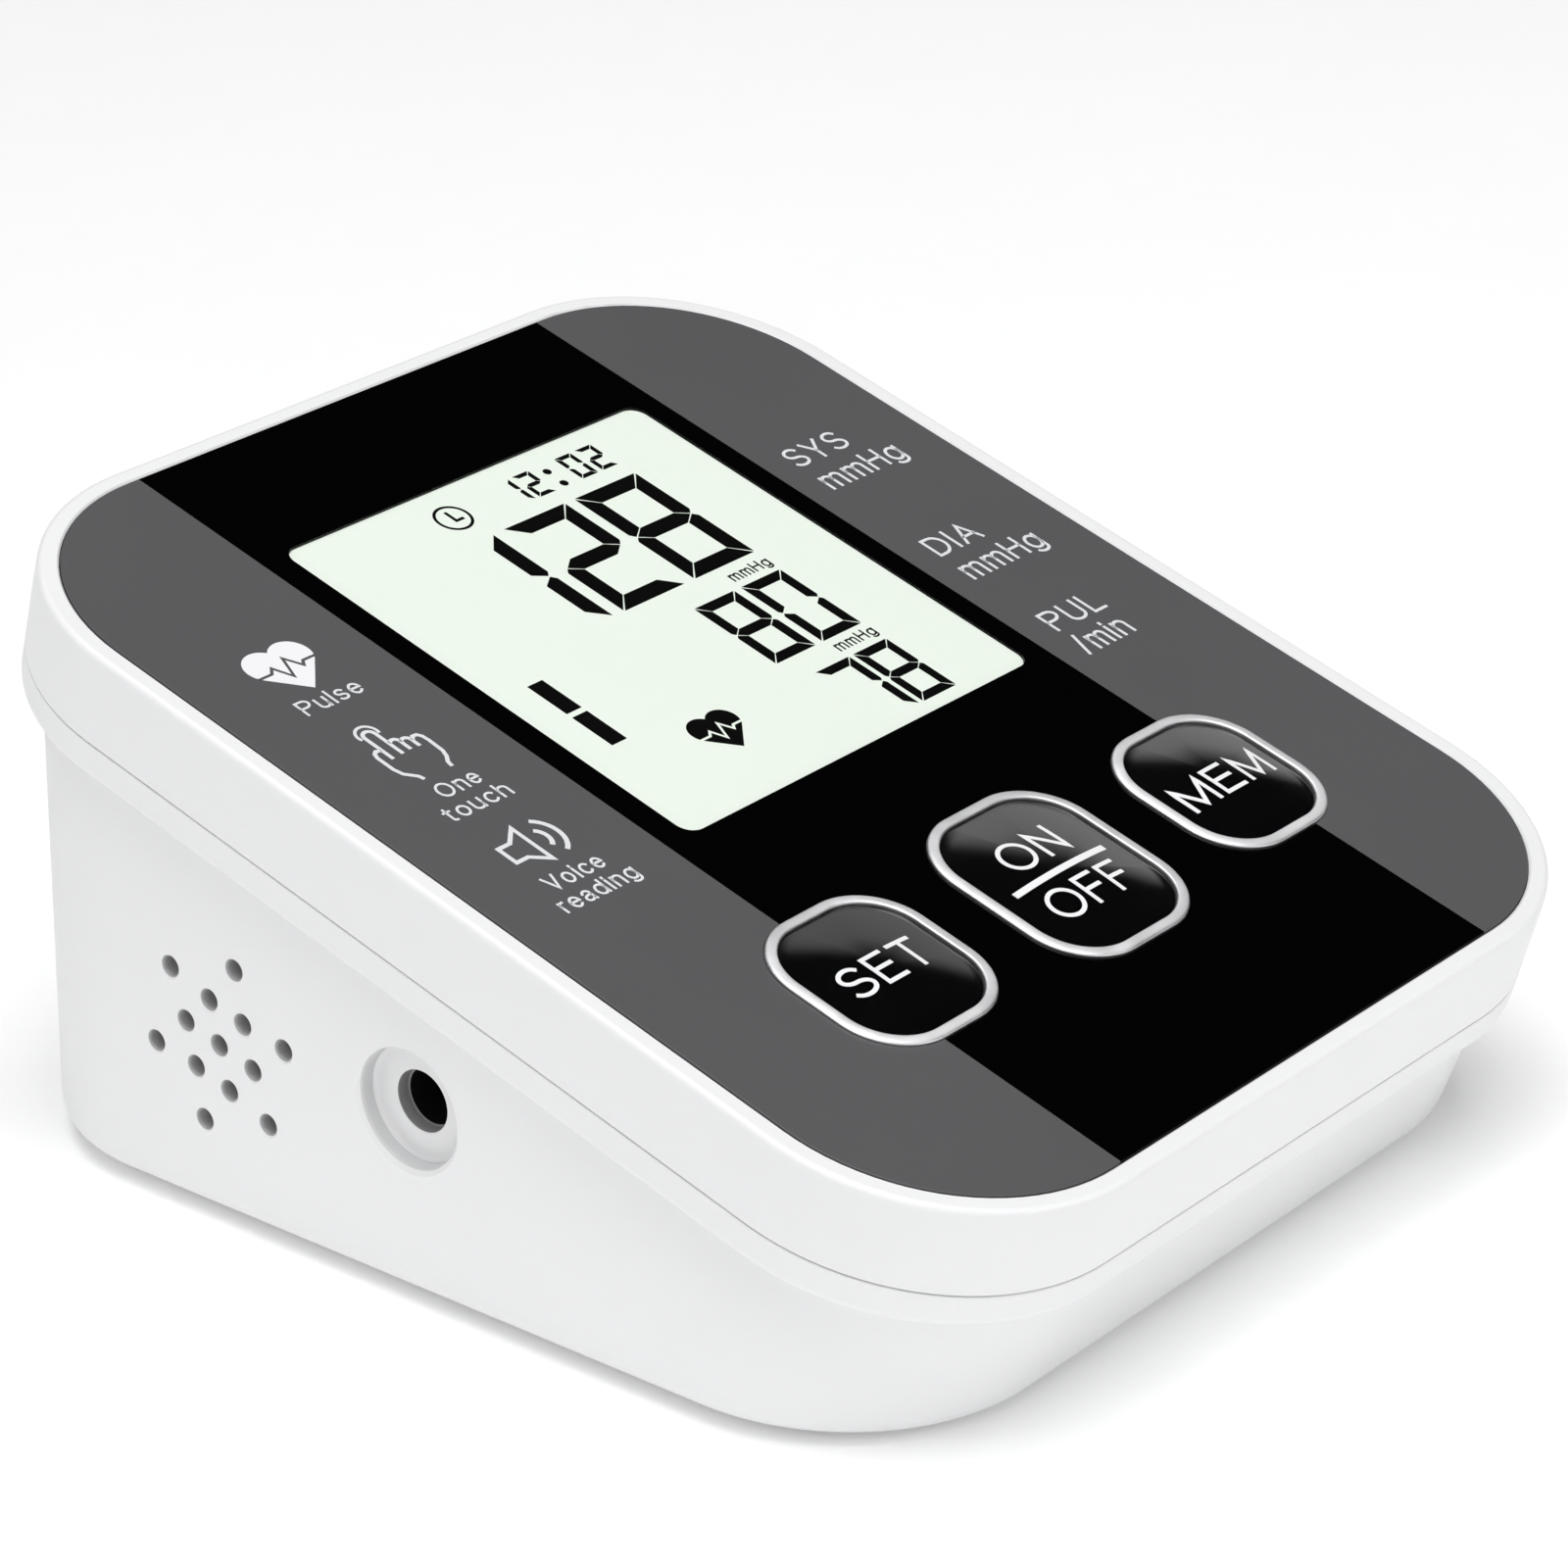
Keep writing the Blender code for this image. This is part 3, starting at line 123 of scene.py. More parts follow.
# Direction in which a mark under the window seems to slide when seen from the left front.
PARALLAX = (1.224, 0.797)

# Name, centre u and v, half width, half height and corner radius of each key's ring.
KEY_ROW_V = -32.0
KEYS = (
    ("set", -25.7, KEY_ROW_V, 9.4, 9.75, 6.9),
    ("power", 0.0, -32.2, 10.1, 11.6, 7.1),
    ("memory", 25.7, KEY_ROW_V, 9.4, 9.75, 6.9),
)
RING_WIDTH = 1.1
RING_VIEW_WIDTH = 1.22
# Inset and height from the ring's outer foot over its broad crest to the inner foot.
RING_SECTION = (
    (0.0, -FACE_THICKNESS), (0.0, 0.1), (0.03, 0.2), (0.11, 0.27), (0.24, 0.315), (0.45, 0.35),
    (0.7, 0.375), (0.95, 0.39), (1.08, 0.38), (1.16, 0.34), (1.2, 0.26), (RING_VIEW_WIDTH, 0.05),
    (RING_VIEW_WIDTH, -FACE_THICKNESS),
)
KEY_GAP = 0.2
KEY_EDGE_N = 0.02
KEY_CROWN = 0.62
KEY_CROWN_POWER = 2.7
KEY_FLANGE_N = (-5.4, -4.3)
KEY_STEM_N = (-6.3, -4.9)
KEY_STEM_RADIUS = 2.0

SCREW_POINTS = ((-42.0, -36.0), (42.0, -36.0), (-42.0, 50.0), (42.0, 50.0))
FOOT_POINTS = ((-33.0, -39.5), (33.0, -39.5), (-41.0, 37.0), (41.0, 37.0))
FOOT_RADIUS = 4.5
FOOT_POCKET_TOP = 2.3
TOWER_RADIUS = 4.6
BOSS_RADIUS = 3.2
WELL_RADIUS = 3.2
SCREW_SHANK_RADIUS = 1.2
BAY_HALF_X = 30.2
BAY_FRONT_Y = 3.0
BAY_BACK_Y = 60.0
BAY_TOP_Z = 17.9
BAY_WALL = 1.6
CELL_X = (-22.35, -7.45, 7.45, 22.35)
CELL_END_BAND = 2.4
DOOR_TAB_X = 21.0
DOOR_TAB_HALF = 3.6
CONTACT_TAG_HALF = 1.9

SPEAKER_Y = 29.7
SPEAKER_Z = 19.4
GRILLE_HOLE_RADIUS = 0.98
GRILLE_RINGS = ((0.0, 0.0, 1), (4.55, 16.5, 6), (8.85, 46.5, 6))
SOCKET_Y = 5.2
SOCKET_Z = 20.4
SOCKET_HOLE_RADIUS = 5.9
SOCKET_PAD_RADIUS = 9.0
SOCKET_PAD_X = -47.5
SIDE_CUT_END_X = -46.0

# The CAD frame is centred on its footprint; its front foot tells by how much.
foot_low, foot_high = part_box("foot_1")
SHIFT_Y = 0.5 * (foot_low.y + foot_high.y) / MM - FOOT_POINTS[0][1]
PLACE = Matrix.Translation((0.0, SHIFT_Y, 0.0))
PANEL = Matrix.Translation((0.0, 0.0, PANEL_CENTRE_Z)) @ Matrix.Rotation(PANEL_TILT, 4, "X")
ALONG_X = Matrix.Rotation(math.radians(90.0), 4, "Y")
ALONG_Y = Matrix.Rotation(math.radians(-90.0), 4, "X")
IDENTITY = Matrix.Identity(4)
SOCKET_AXIS = Matrix.Translation((0.0, SOCKET_Y, SOCKET_Z)) @ ALONG_X


# ---- mesh helpers

def rounded_rectangle(half_x, half_y, radius, centre=(0.0, 0.0), steps=CORNER_STEPS):
    """Counter-clockwise outline with the same count of points in each corner."""
    outline = []
    corners = ((1, 1, 0.0), (-1, 1, 90.0), (-1, -1, 180.0), (1, -1, 270.0))
    for side_x, side_y, start in corners:
        corner_x = centre[0] + side_x * (half_x - radius)
        corner_y = centre[1] + side_y * (half_y - radius)
        for step in range(steps + 1):
            angle = math.radians(start + 90.0 * step / steps)
            outline.append((corner_x + radius * math.cos(angle), corner_y + radius * math.sin(angle)))
    return outline


def key_outline(key, by, steps):
    """Outline of a key's ring, grown or shrunk by a margin."""
    _, u, v, half_u, half_v, radius = key
    return rounded_rectangle(half_u + by, half_v + by, max(radius + by, 0.8), (u, v), steps)


def face_outline(by):
    return rounded_rectangle(FACE_HALF_U + by, FACE_HALF_V + by, FACE_RADIUS + by)


def window_outline(by):
    return rounded_rectangle(WINDOW_HALF[0] + by, WINDOW_HALF[1] + by, WINDOW_RADIUS, LCD_CENTRE, 12)


def circle(radius, steps=48, centre=(0.0, 0.0)):
    outline = []
    for step in range(steps):
        angle = 2.0 * math.pi * step / steps
        outline.append((centre[0] + radius * math.cos(angle), centre[1] + radius * math.sin(angle)))
    return outline


def level(outline, height):
    """Outline laid flat at a height."""
    return [Vector((x, y, height)) for x, y in outline]


def on_panel(outline, n):
    """Outline laid parallel to the panel at a distance n above it."""
    return [PANEL @ Vector((u, v, n)) for u, v in outline]


def add_loft(mesh, loops, closed=False):
    """Skin over outlines of equal count: capped at both ends, or joined end to end."""
    rows = [[mesh.verts.new(point) for point in loop] for loop in loops]
    if closed:
        rows.append(rows[0])
    count = len(rows[0])
    for lower, upper in zip(rows, rows[1:]):
        for index in range(count):
            following = (index + 1) % count
            mesh.faces.new((lower[index], lower[following], upper[following], upper[index]))
    if not closed:
        mesh.faces.new(list(reversed(rows[0])))
        mesh.faces.new(rows[-1])


def add_prism(mesh, outline, low, high, frame_matrix=IDENTITY):
    add_loft(mesh, [[frame_matrix @ point for point in level(outline, height)] for height in (low, high)])


def add_stack(mesh, sections, frame_matrix=IDENTITY, steps=48, centre=(0.0, 0.0)):
    """Solid of revolution about the frame's z axis, from (radius, height) sections."""
    loops = []
    for radius, height in sections:
        loops.append([frame_matrix @ point for point in level(circle(radius, steps, centre), height)])
    add_loft(mesh, loops)


def add_box(mesh, low, high, frame_matrix=IDENTITY):
    outline = [(low[0], low[1]), (high[0], low[1]), (high[0], high[1]), (low[0], high[1])]
    add_prism(mesh, outline, low[2], high[2], frame_matrix)


def new_object(name, data):
    item = bpy.data.objects.new(name, data)
    bpy.context.scene.collection.objects.link(item)
    return item


def mesh_object(name, build):
    """New object whose mesh is filled by build(bmesh) in millimetres."""
    mesh = bmesh.new()
    build(mesh)
    bmesh.ops.recalc_face_normals(mesh, faces=mesh.faces[:])
    mesh.transform(Matrix.Scale(MM, 4) @ PLACE)
    data = bpy.data.meshes.new(name)
    mesh.to_mesh(data)
    mesh.free()
    return new_object(name, data)


def loft_object(name, loops):
    return mesh_object(name, lambda mesh: add_loft(mesh, loops))


def combine(item, build, operation="DIFFERENCE"):
    """Boolean with a second mesh, given as an object or as a build function; it is used up."""
    tool = build if isinstance(build, bpy.types.Object) else mesh_object("tool", build)
    modifier = item.modifiers.new("combine", "BOOLEAN")
    modifier.operation = operation
    modifier.solver = "EXACT"
    modifier.object = tool
    bpy.context.view_layer.update()
    evaluated = item.evaluated_get(bpy.context.evaluated_depsgraph_get())
    result = bpy.data.meshes.new_from_object(evaluated)
    item.modifiers.clear()
    old = item.data
    item.data = result
    bpy.data.meshes.remove(old)
    tool_mesh = tool.data
    bpy.data.objects.remove(tool, do_unlink=True)
    bpy.data.meshes.remove(tool_mesh)


def dress(item, body, materials, replaced=(), sharp=30.0, weighted=True):
    """Materials, smooth shading, the CAD body it rides on and the nodes it stands for."""
    indices = [face.material_index for face in item.data.polygons]
    item.data.materials.clear()
    for material in materials:
        item.data.materials.append(material)
    item.data.polygons.foreach_set("material_index", indices)
    item.data.shade_smooth()
    item.data.set_sharp_from_angle(angle=math.radians(sharp))
    if weighted:
        modifier = item.modifiers.new("even normals", "WEIGHTED_NORMAL")
        modifier.keep_sharp = True
    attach(item, body)
    if replaced:
        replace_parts(item, *replaced)


# ---- materials

def new_material(name):
    material = bpy.data.materials.new(name)
    material.use_nodes = True
    tree = material.node_tree
    return material, tree, tree.nodes["Principled BSDF"]


def put(node, values):
    """Set a node's inputs by name."""
    for name, value in values.items():
        node.inputs[name].default_value = value


def add_noise(tree, coordinates, scale, detail=3.0, roughness=0.5):
    noise = tree.nodes.new("ShaderNodeTexNoise")
    put(noise, {"Scale": scale, "Detail": detail, "Roughness": roughness})
    tree.links.new(coordinates, noise.inputs["Vector"])
    return noise.outputs["Fac"]


def add_range(tree, value, low, high, source=(0.3, 0.7), interpolation="LINEAR"):
    """Map a value from its source span to low and high; noise mostly lies in the default span."""
    node = tree.nodes.new("ShaderNodeMapRange")
    node.interpolation_type = interpolation
    put(node, {"From Min": source[0], "From Max": source[1], "To Min": low, "To Max": high})
    tree.links.new(value, node.inputs["Value"])
    return node.outputs["Result"]


def surface(name, colour, roughness, metallic=0.0, spread=0.05, tint=0.03, grain=2200.0,
            bump=0.004, specular=0.5, patch=35.0):
    """Moulded or finished surface: slow colour drift, uneven gloss and a fine grain in relief."""
    material, tree, shader = new_material(name)
    place = tree.nodes.new("ShaderNodeTexCoord").outputs["Object"]
    put(shader, {"Metallic": metallic, "Specular IOR Level": specular})

    drift = add_noise(tree, place, patch, 2.0)
    mix = tree.nodes.new("ShaderNodeMix")
    mix.data_type = "RGBA"
    put(mix, {"A": (*[c * (1.0 - tint) for c in colour], 1.0),
              "B": (*[min(1.0, c * (1.0 + tint)) for c in colour], 1.0)})
    tree.links.new(add_range(tree, drift, 0.0, 1.0), mix.inputs["Factor"])
    tree.links.new(mix.outputs["Result"], shader.inputs["Base Color"])

    gloss = add_noise(tree, place, patch * 6.0, 4.0, 0.6)
    uneven = add_range(tree, gloss, roughness - spread, roughness + spread)
    tree.links.new(uneven, shader.inputs["Roughness"])

    relief = tree.nodes.new("ShaderNodeBump")
    put(relief, {"Strength": 0.3, "Distance": bump * MM})
    tree.links.new(add_noise(tree, place, grain, 2.0), relief.inputs["Height"])
    tree.links.new(relief.outputs["Normal"], shader.inputs["Normal"])
    return material


def light_up(material, colour, glow):
    shader = material.node_tree.nodes["Principled BSDF"]
    put(shader, {"Emission Color": (*colour, 1.0), "Emission Strength": glow})


def glowing(name, colour, roughness, glow):
    """Smooth surface lit from behind in its own colour."""
    material = surface(name, colour, roughness, tint=0.006, spread=0.03, bump=0.0003)
    light_up(material, colour, glow)
    return material


def clear_window(name):
    """Thin clear sheet that only adds its own faint gloss."""
    material, tree, shader = new_material(name)
    place = tree.nodes.new("ShaderNodeTexCoord").outputs["Object"]
    put(shader, {"Base Color": (0.01, 0.011, 0.01, 1.0), "Specular IOR Level": 0.2, "Alpha": 0.04})
    smear = add_noise(tree, place, 90.0, 3.0)
    tree.links.new(add_range(tree, smear, 0.04, 0.1), shader.inputs["Roughness"])
    return material


WHITE = (0.84, 0.842, 0.846)
SHELL = {"spread": 0.04, "grain": 1500.0, "tint": 0.008}
INK = {"specular": 0.3, "grain": 8000.0, "bump": 0.002}
PLATED = {"metallic": 1.0, "grain": 1500.0, "bump": 0.006}
M = {
    "upper_shell": surface("upper_shell_white", WHITE, 0.33, bump=0.0012, **SHELL),
    "lower_shell": surface("lower_shell_white", WHITE, 0.38, bump=0.0016, **SHELL),
    # Grey on the sides of the grille holes: painted shade inside the holes.
    "grille_hole_shade": surface("grille_hole_painted_shade", (0.4, 0.4, 0.405), 0.5, grain=1800.0, bump=0.002),
    # Darker white on the sides of the socket recess: painted shade of the recess.
    "recess": surface("recess_painted_shade", (0.66, 0.662, 0.666), 0.4, grain=1800.0, bump=0.002, tint=0.01),
    "door_plastic": surface("door_white", WHITE, 0.38, spread=0.04, grain=1400.0, bump=0.005, tint=0.01),
    "face_black": surface("panel_black", (0.001, 0.001, 0.0012), 0.14, spread=0.012, specular=0.12,
                          bump=0.001),
    "face_grey": surface("panel_grey", (0.095, 0.095, 0.098), 0.36, spread=0.015, specular=0.25,
                         tint=0.02, grain=2600.0, bump=0.002),
    "lens": clear_window("display_window"),
    "lcd": glowing("display_face", (0.875, 0.95, 0.855), 0.5, 0.07),
    "diffuser": surface("light_guide", (0.88, 0.88, 0.85), 0.45),
    "zebra": surface("contact_strip", (0.62, 0.34, 0.38), 0.7, grain=1200.0, bump=0.03),
    "segment": surface("display_segment", (0.002, 0.002, 0.002), 0.5, specular=0.05),
    "print": surface("white_print", (0.72, 0.73, 0.74), 0.5, **INK),
    "key_print": surface("key_print", (0.86, 0.86, 0.87), 0.4, **INK),
    "key_black": surface("key_cap_black", (0.0012, 0.0012, 0.0014), 0.1, spread=0.02, bump=0.0004,
                         grain=900.0),
    "ring_chrome": surface("ring_plated", (0.66, 0.66, 0.67), 0.4, metallic=1.0, spread=0.06, tint=0.12,
                           patch=70.0, grain=1800.0, bump=0.003),
    "switch_body": surface("switch_black", (0.03, 0.03, 0.032), 0.5),
    "plunger_red": surface("plunger_brown", (0.42, 0.09, 0.06), 0.45),
    "board": surface("board_green", (0.015, 0.13, 0.045), 0.38, grain=1400.0, bump=0.012, tint=0.12),
    "chip": surface("chip_black", (0.022, 0.022, 0.025), 0.55, grain=2400.0, bump=0.01),
    "foot_rubber": surface("foot_rubber", (0.055, 0.055, 0.058), 0.82, grain=1800.0, bump=0.03, tint=0.1),
    "screw_steel": surface("screw_zinc", (0.6, 0.61, 0.63), 0.35, metallic=1.0, grain=2000.0, bump=0.006),
    "motor_steel": surface("motor_can", (0.6, 0.6, 0.61), 0.34, **PLATED),
    "rotor_copper": surface("rotor_winding", (0.62, 0.33, 0.14), 0.38, metallic=0.9, grain=900.0,
                            bump=0.04),
    "pump_plastic": surface("pump_black", (0.05, 0.05, 0.054), 0.5, grain=1600.0, bump=0.014),
    "diaphragm_rubber": surface("diaphragm_red", (0.45, 0.14, 0.08), 0.7),
    "valve_steel": surface("valve_plated", (0.62, 0.62, 0.63), 0.34, **PLATED),
    "coil_copper": surface("coil_winding", (0.5, 0.19, 0.07), 0.35, metallic=0.8, grain=700.0, bump=0.05),
    "socket_plastic": surface("socket_light", (0.80, 0.802, 0.806), 0.36, grain=3600.0, bump=0.006,
                              tint=0.012),
    # Grey mouth and black bore of the hose inlet: painted shade inside the hole.
    "socket_mouth_shade": surface("socket_mouth_painted_shade", (0.26, 0.26, 0.265), 0.5, grain=2600.0, bump=0.01),
    "socket_bore_shade": surface("socket_bore_painted_shade", (0.004, 0.004, 0.0045), 0.75, specular=0.15),
    "hose_silicone": surface("hose_clear", (0.7, 0.71, 0.7), 0.38),
    "battery_jacket": surface("cell_jacket", (0.07, 0.075, 0.09), 0.34, metallic=0.4, tint=0.06),
    "cell_end": surface("cell_end", (0.7, 0.7, 0.7), 0.2, metallic=1.0),
    "contact_metal": surface("contact_nickel", (0.72, 0.71, 0.68), 0.2, metallic=1.0),
    "speaker_metal": surface("speaker_frame", (0.04, 0.04, 0.045), 0.4, metallic=0.5),
    "cone_paper": surface("cone_black", (0.03, 0.03, 0.032), 0.75, grain=1200.0, bump=0.03),
    "lead_red": surface("wire_red", (0.45, 0.02, 0.02), 0.42),
    "lead_black": surface("wire_black", (0.015, 0.015, 0.016), 0.42),
    "lead_grey": surface("wire_grey", (0.24, 0.24, 0.26), 0.45),
}


# ---- upper shell

def rim_outline(inset):
    return rounded_rectangle(RIM_HALF_U - inset, RIM_HALF_V - inset, RIM_RADIUS - inset)


def boss_bottom(y):
    """Height at which the screw bosses of the front and back pair end."""
    return 15.0 if y < 0 else 30.0


def deck_height(y):
    """Height of the middle of the sloping deck under the panel."""
    n = 0.5 * (DECK_TOP_N + DECK_BOTTOM_N)
    v = (y + n * math.sin(PANEL_TILT)) / math.cos(PANEL_TILT)
    return PANEL_CENTRE_Z + v * math.sin(PANEL_TILT) + n * math.cos(PANEL_TILT)


def build_upper_shell():
    loops = []
    for step in range(9):
        angle = math.radians(90.0 * step / 8)
        inset = RIM_EDGE_RADIUS * (1 - math.sin(angle))
        loops.append(on_panel(rim_outline(inset), -RIM_EDGE_RADIUS * (1 - math.cos(angle))))
    for inset, n in ((-0.05, -1.6), (-0.07, -3.5), (-0.06, -6.5), (-0.05, PARTING_N + 0.25),
                     (0.0, PARTING_N + 0.12), (0.1, PARTING_N + 0.04)):
        loops.append(on_panel(rim_outline(inset), n))
    shell = loft_object("upper_shell", loops)

    def hollow(mesh):
        add_loft(mesh, [on_panel(rim_outline(SKIRT_WALL), n) for n in (DECK_BOTTOM_N, PARTING_N - 1.0)])

    combine(shell, hollow)

    def bosses(mesh):
        for x, y in SCREW_POINTS:
            add_prism(mesh, circle(BOSS_RADIUS, 32, (x, y)), boss_bottom(y), deck_height(y))

    combine(shell, bosses, "UNION")

    def recess(mesh):
        sections = ((0.12, DECK_TOP_N), (0.12, -0.2), (0.32, 0.0), (0.32, 1.0))
        add_loft(mesh, [on_panel(face_outline(by), n) for by, n in sections])

    combine(shell, recess)

    def deck_openings(mesh):
        glass = rounded_rectangle(GLASS_HALF[0] + GAP, GLASS_HALF[1] + GAP, 0.9, LCD_CENTRE, 4)
        add_prism(mesh, glass, DECK_BOTTOM_N - 1.0, DECK_TOP_N + 1.0, PANEL)
        for key in KEYS:
            outline = key_outline(key, 0.1 - RING_WIDTH, 12)
            add_prism(mesh, outline, DECK_BOTTOM_N - 1.0, DECK_TOP_N + 1.0, PANEL)
        for x, y in SCREW_POINTS:
            add_prism(mesh, circle(SCREW_SHANK_RADIUS + GAP, 24, (x, y)),
                      boss_bottom(y) - 1.0, boss_bottom(y) + 9.0)

    combine(shell, deck_openings)
    dress(shell, CASE, [M["upper_shell"]], ["upper_case"], sharp=40.0)


# ---- lower shell

def base_outline(inset):
    half_y = 0.5 * (BASE_BACK_Y - BASE_FRONT_Y)
    middle = 0.5 * (BASE_BACK_Y + BASE_FRONT_Y)
    return rounded_rectangle(BASE_HALF_X - inset, half_y - inset, BASE_RADIUS - inset, (0.0, middle))


def wall_loops():
    """Side wall from the crease down to a rounded lower edge, tighter at the front."""
    crease = on_panel(rim_outline(CREASE_INSET), CREASE_N)
    ground = level(base_outline(0.0), CASE_BOTTOM_Z)
    count = len(ground)
    loops = [crease]
    for fraction in (0.04, 0.3, 0.6):
        loops.append([top.lerp(foot, fraction) for top, foot in zip(crease, ground)])
    steps = 10
    for step in range(steps + 1):
        angle = math.radians(90.0 * step / steps)
        loop = []
        for index, (top, foot) in enumerate(zip(crease, ground)):
            along = (ground[(index + 1) % count] - ground[index - 1]).normalized()
            outward = Vector((along.y, -along.x, 0.0))
            facing = max(0.0, -outward.y) ** 2
            edge = BASE_EDGE_SIDE + (BASE_EDGE_FRONT - BASE_EDGE_SIDE) * facing
            share = 1.0 - edge * (1 - math.sin(angle)) / (top.z - foot.z)
            loop.append(top.lerp(foot, share) - outward * edge * (1 - math.cos(angle)))
        loops.append(loop)
    return loops


def lower_shell_loops():
    top = PARTING_N - PARTING_GAP
    loops = [on_panel(rim_outline(LIP_HALF_DROP), n) for n in (LIP_TOP_N, top)]
    profile = [(0.1, top), (0.0, top - 0.08), (-0.05, top - 0.22), (-0.06, -11.0),
               (-0.05, SKIRT_BOTTOM_N)]
    # Lower edge of the flange, rolling in, then a soft hollow into the wall.
    for degrees in (20, 40, 60, 75):
        angle = math.radians(degrees)
        profile.append((-0.05 + FLANGE_ROLL * (1 - math.cos(angle)),
                        SKIRT_BOTTOM_N - FLANGE_ROLL * math.sin(angle)))
    profile += [(1.35, -13.6), (1.75, -13.82), (2.03, -14.1), (2.17, -14.4)]
    loops += [on_panel(rim_outline(inset), n) for inset, n in profile]
    return loops + wall_loops()


def cavity_loops():
    loops = [on_panel(rim_outline(LIP_HALF_DROP + 1.1), n) for n in (LIP_TOP_N + 1.0, SKIRT_BOTTOM_N)]
    loops.append(on_panel(rim_outline(CREASE_INSET + 2.3), CREASE_N - 0.5))
    loops.append(level(base_outline(CASE_WALL), CASE_BOTTOM_Z + FLOOR_THICKNESS))
    return loops


def head_seat(y):
    """Height at which the screw heads of the front and back pair sit."""
    return 8.4 if y < 0 else 23.4


def grille_points():
    """Centres (y, z) of the speaker holes in the left wall."""
    for radius, start, count in GRILLE_RINGS:
        for index in range(count):
            angle = math.radians(start + 360.0 * index / count)
            yield SPEAKER_Y + radius * math.cos(angle), SPEAKER_Z + radius * math.sin(angle)


def build_lower_shell():
    shell = loft_object("lower_shell", lower_shell_loops())
    cavity = loft_object("cavity", cavity_loops())
    combine(cavity, lambda mesh: add_box(
        mesh, (-BAY_HALF_X - BAY_WALL, BAY_FRONT_Y - BAY_WALL, -5.0),
        (BAY_HALF_X + BAY_WALL, BAY_BACK_Y + BAY_WALL, BAY_TOP_Z + BAY_WALL)))

    def towers(mesh):
        for x, y in SCREW_POINTS:
            add_prism(mesh, circle(TOWER_RADIUS, 32, (x, y)), -5.0, boss_bottom(y) - GAP)
        add_prism(mesh, circle(SOCKET_PAD_RADIUS), -56.0, SOCKET_PAD_X, SOCKET_AXIS)

    combine(cavity, towers)
    combine(shell, cavity)
    combine(shell, lambda mesh: add_box(mesh, (-BAY_HALF_X, BAY_FRONT_Y, -2.0),
                                        (BAY_HALF_X, BAY_BACK_Y, BAY_TOP_Z)))

    def wells(mesh):
        for x, y in SCREW_POINTS:
            seat = head_seat(y)
            sections = ((WELL_RADIUS, -1.0), (WELL_RADIUS, seat), (SCREW_SHANK_RADIUS + GAP, seat),
                        (SCREW_SHANK_RADIUS + GAP, boss_bottom(y) + 1.0))
            add_stack(mesh, sections, steps=40, centre=(x, y))
        for x, y in FOOT_POINTS:
            add_prism(mesh, circle(FOOT_RADIUS + 0.2, centre=(x, y)), -1.0, FOOT_POCKET_TOP)
        for x in (-DOOR_TAB_X, DOOR_TAB_X):
            add_box(mesh, (x - DOOR_TAB_HALF, BAY_BACK_Y - 1.0, 1.5),
                    (x + DOOR_TAB_HALF, BAY_BACK_Y + 2.4, 5.0))
        for x in (CELL_X[0], CELL_X[3]):
            add_box(mesh, (x - CONTACT_TAG_HALF, BAY_FRONT_Y, BAY_TOP_Z - 1.0),
                    (x + CONTACT_TAG_HALF, BAY_FRONT_Y + 1.3, BAY_TOP_Z + BAY_WALL + 1.0))

    combine(shell, wells)

    def side_holes(mesh):
        flare = 0.35
        for y, z in grille_points():
            mouth = wall_x(y, z)
            sections = ((GRILLE_HOLE_RADIUS + flare + 1.0, mouth - 1.0),
                        (GRILLE_HOLE_RADIUS + flare, mouth - 0.02),
                        (GRILLE_HOLE_RADIUS + 0.45 * flare, mouth + 0.1),
                        (GRILLE_HOLE_RADIUS + 0.12 * flare, mouth + 0.25),
                        (GRILLE_HOLE_RADIUS, mouth + 0.45), (GRILLE_HOLE_RADIUS, SIDE_CUT_END_X))
            add_stack(mesh, sections, Matrix.Translation((0.0, y, z)) @ ALONG_X, 28)
        mouth = wall_x(SOCKET_Y, SOCKET_Z)
        sections = ((SOCKET_HOLE_RADIUS + 1.5, mouth - 1.0), (SOCKET_HOLE_RADIUS + 0.45, mouth),
                    (SOCKET_HOLE_RADIUS + 0.2, mouth + 0.09), (SOCKET_HOLE_RADIUS + 0.05, mouth + 0.27),
                    (SOCKET_HOLE_RADIUS, mouth + 0.5), (SOCKET_HOLE_RADIUS, SIDE_CUT_END_X))
        add_stack(mesh, sections, SOCKET_AXIS, 72)

    combine(shell, side_holes)

    # The sides of the grille holes and of the socket recess get painted shade: darker tones that stand in for
    # the shade falling inside them.
    for face in shell.data.polygons:
        x, y, z = face.center / MM
        y -= SHIFT_Y
        inside = abs(face.normal.x) < 0.75 and -BASE_HALF_X < x < SOCKET_PAD_X + 0.5
        if not inside:
            face.material_index = 0
        elif any(math.hypot(y - hole_y, z - hole_z) < GRILLE_HOLE_RADIUS + 0.3
                 for hole_y, hole_z in grille_points()):
            face.material_index = 1
        else:
            recess = math.hypot(y - SOCKET_Y, z - SOCKET_Z) < SOCKET_HOLE_RADIUS + 0.15
            face.material_index = 2 if recess else 0
    dress(shell, CASE, [M["lower_shell"], M["grille_hole_shade"], M["recess"]], ["lower_case"],
          sharp=40.0)


def wall_x(y, z):
    """Outer face of the left wall at a point, on the straight run between crease and ground."""
    rise = (y / math.cos(PANEL_TILT)) * math.sin(PANEL_TILT)
    crease_z = PANEL_CENTRE_Z + rise + CREASE_N * math.cos(PANEL_TILT)
    share = (z - CASE_BOTTOM_Z) / (crease_z - CASE_BOTTOM_Z)
    return -(BASE_HALF_X + (RIM_HALF_U - CREASE_INSET - BASE_HALF_X) * share)


# ---- front panel

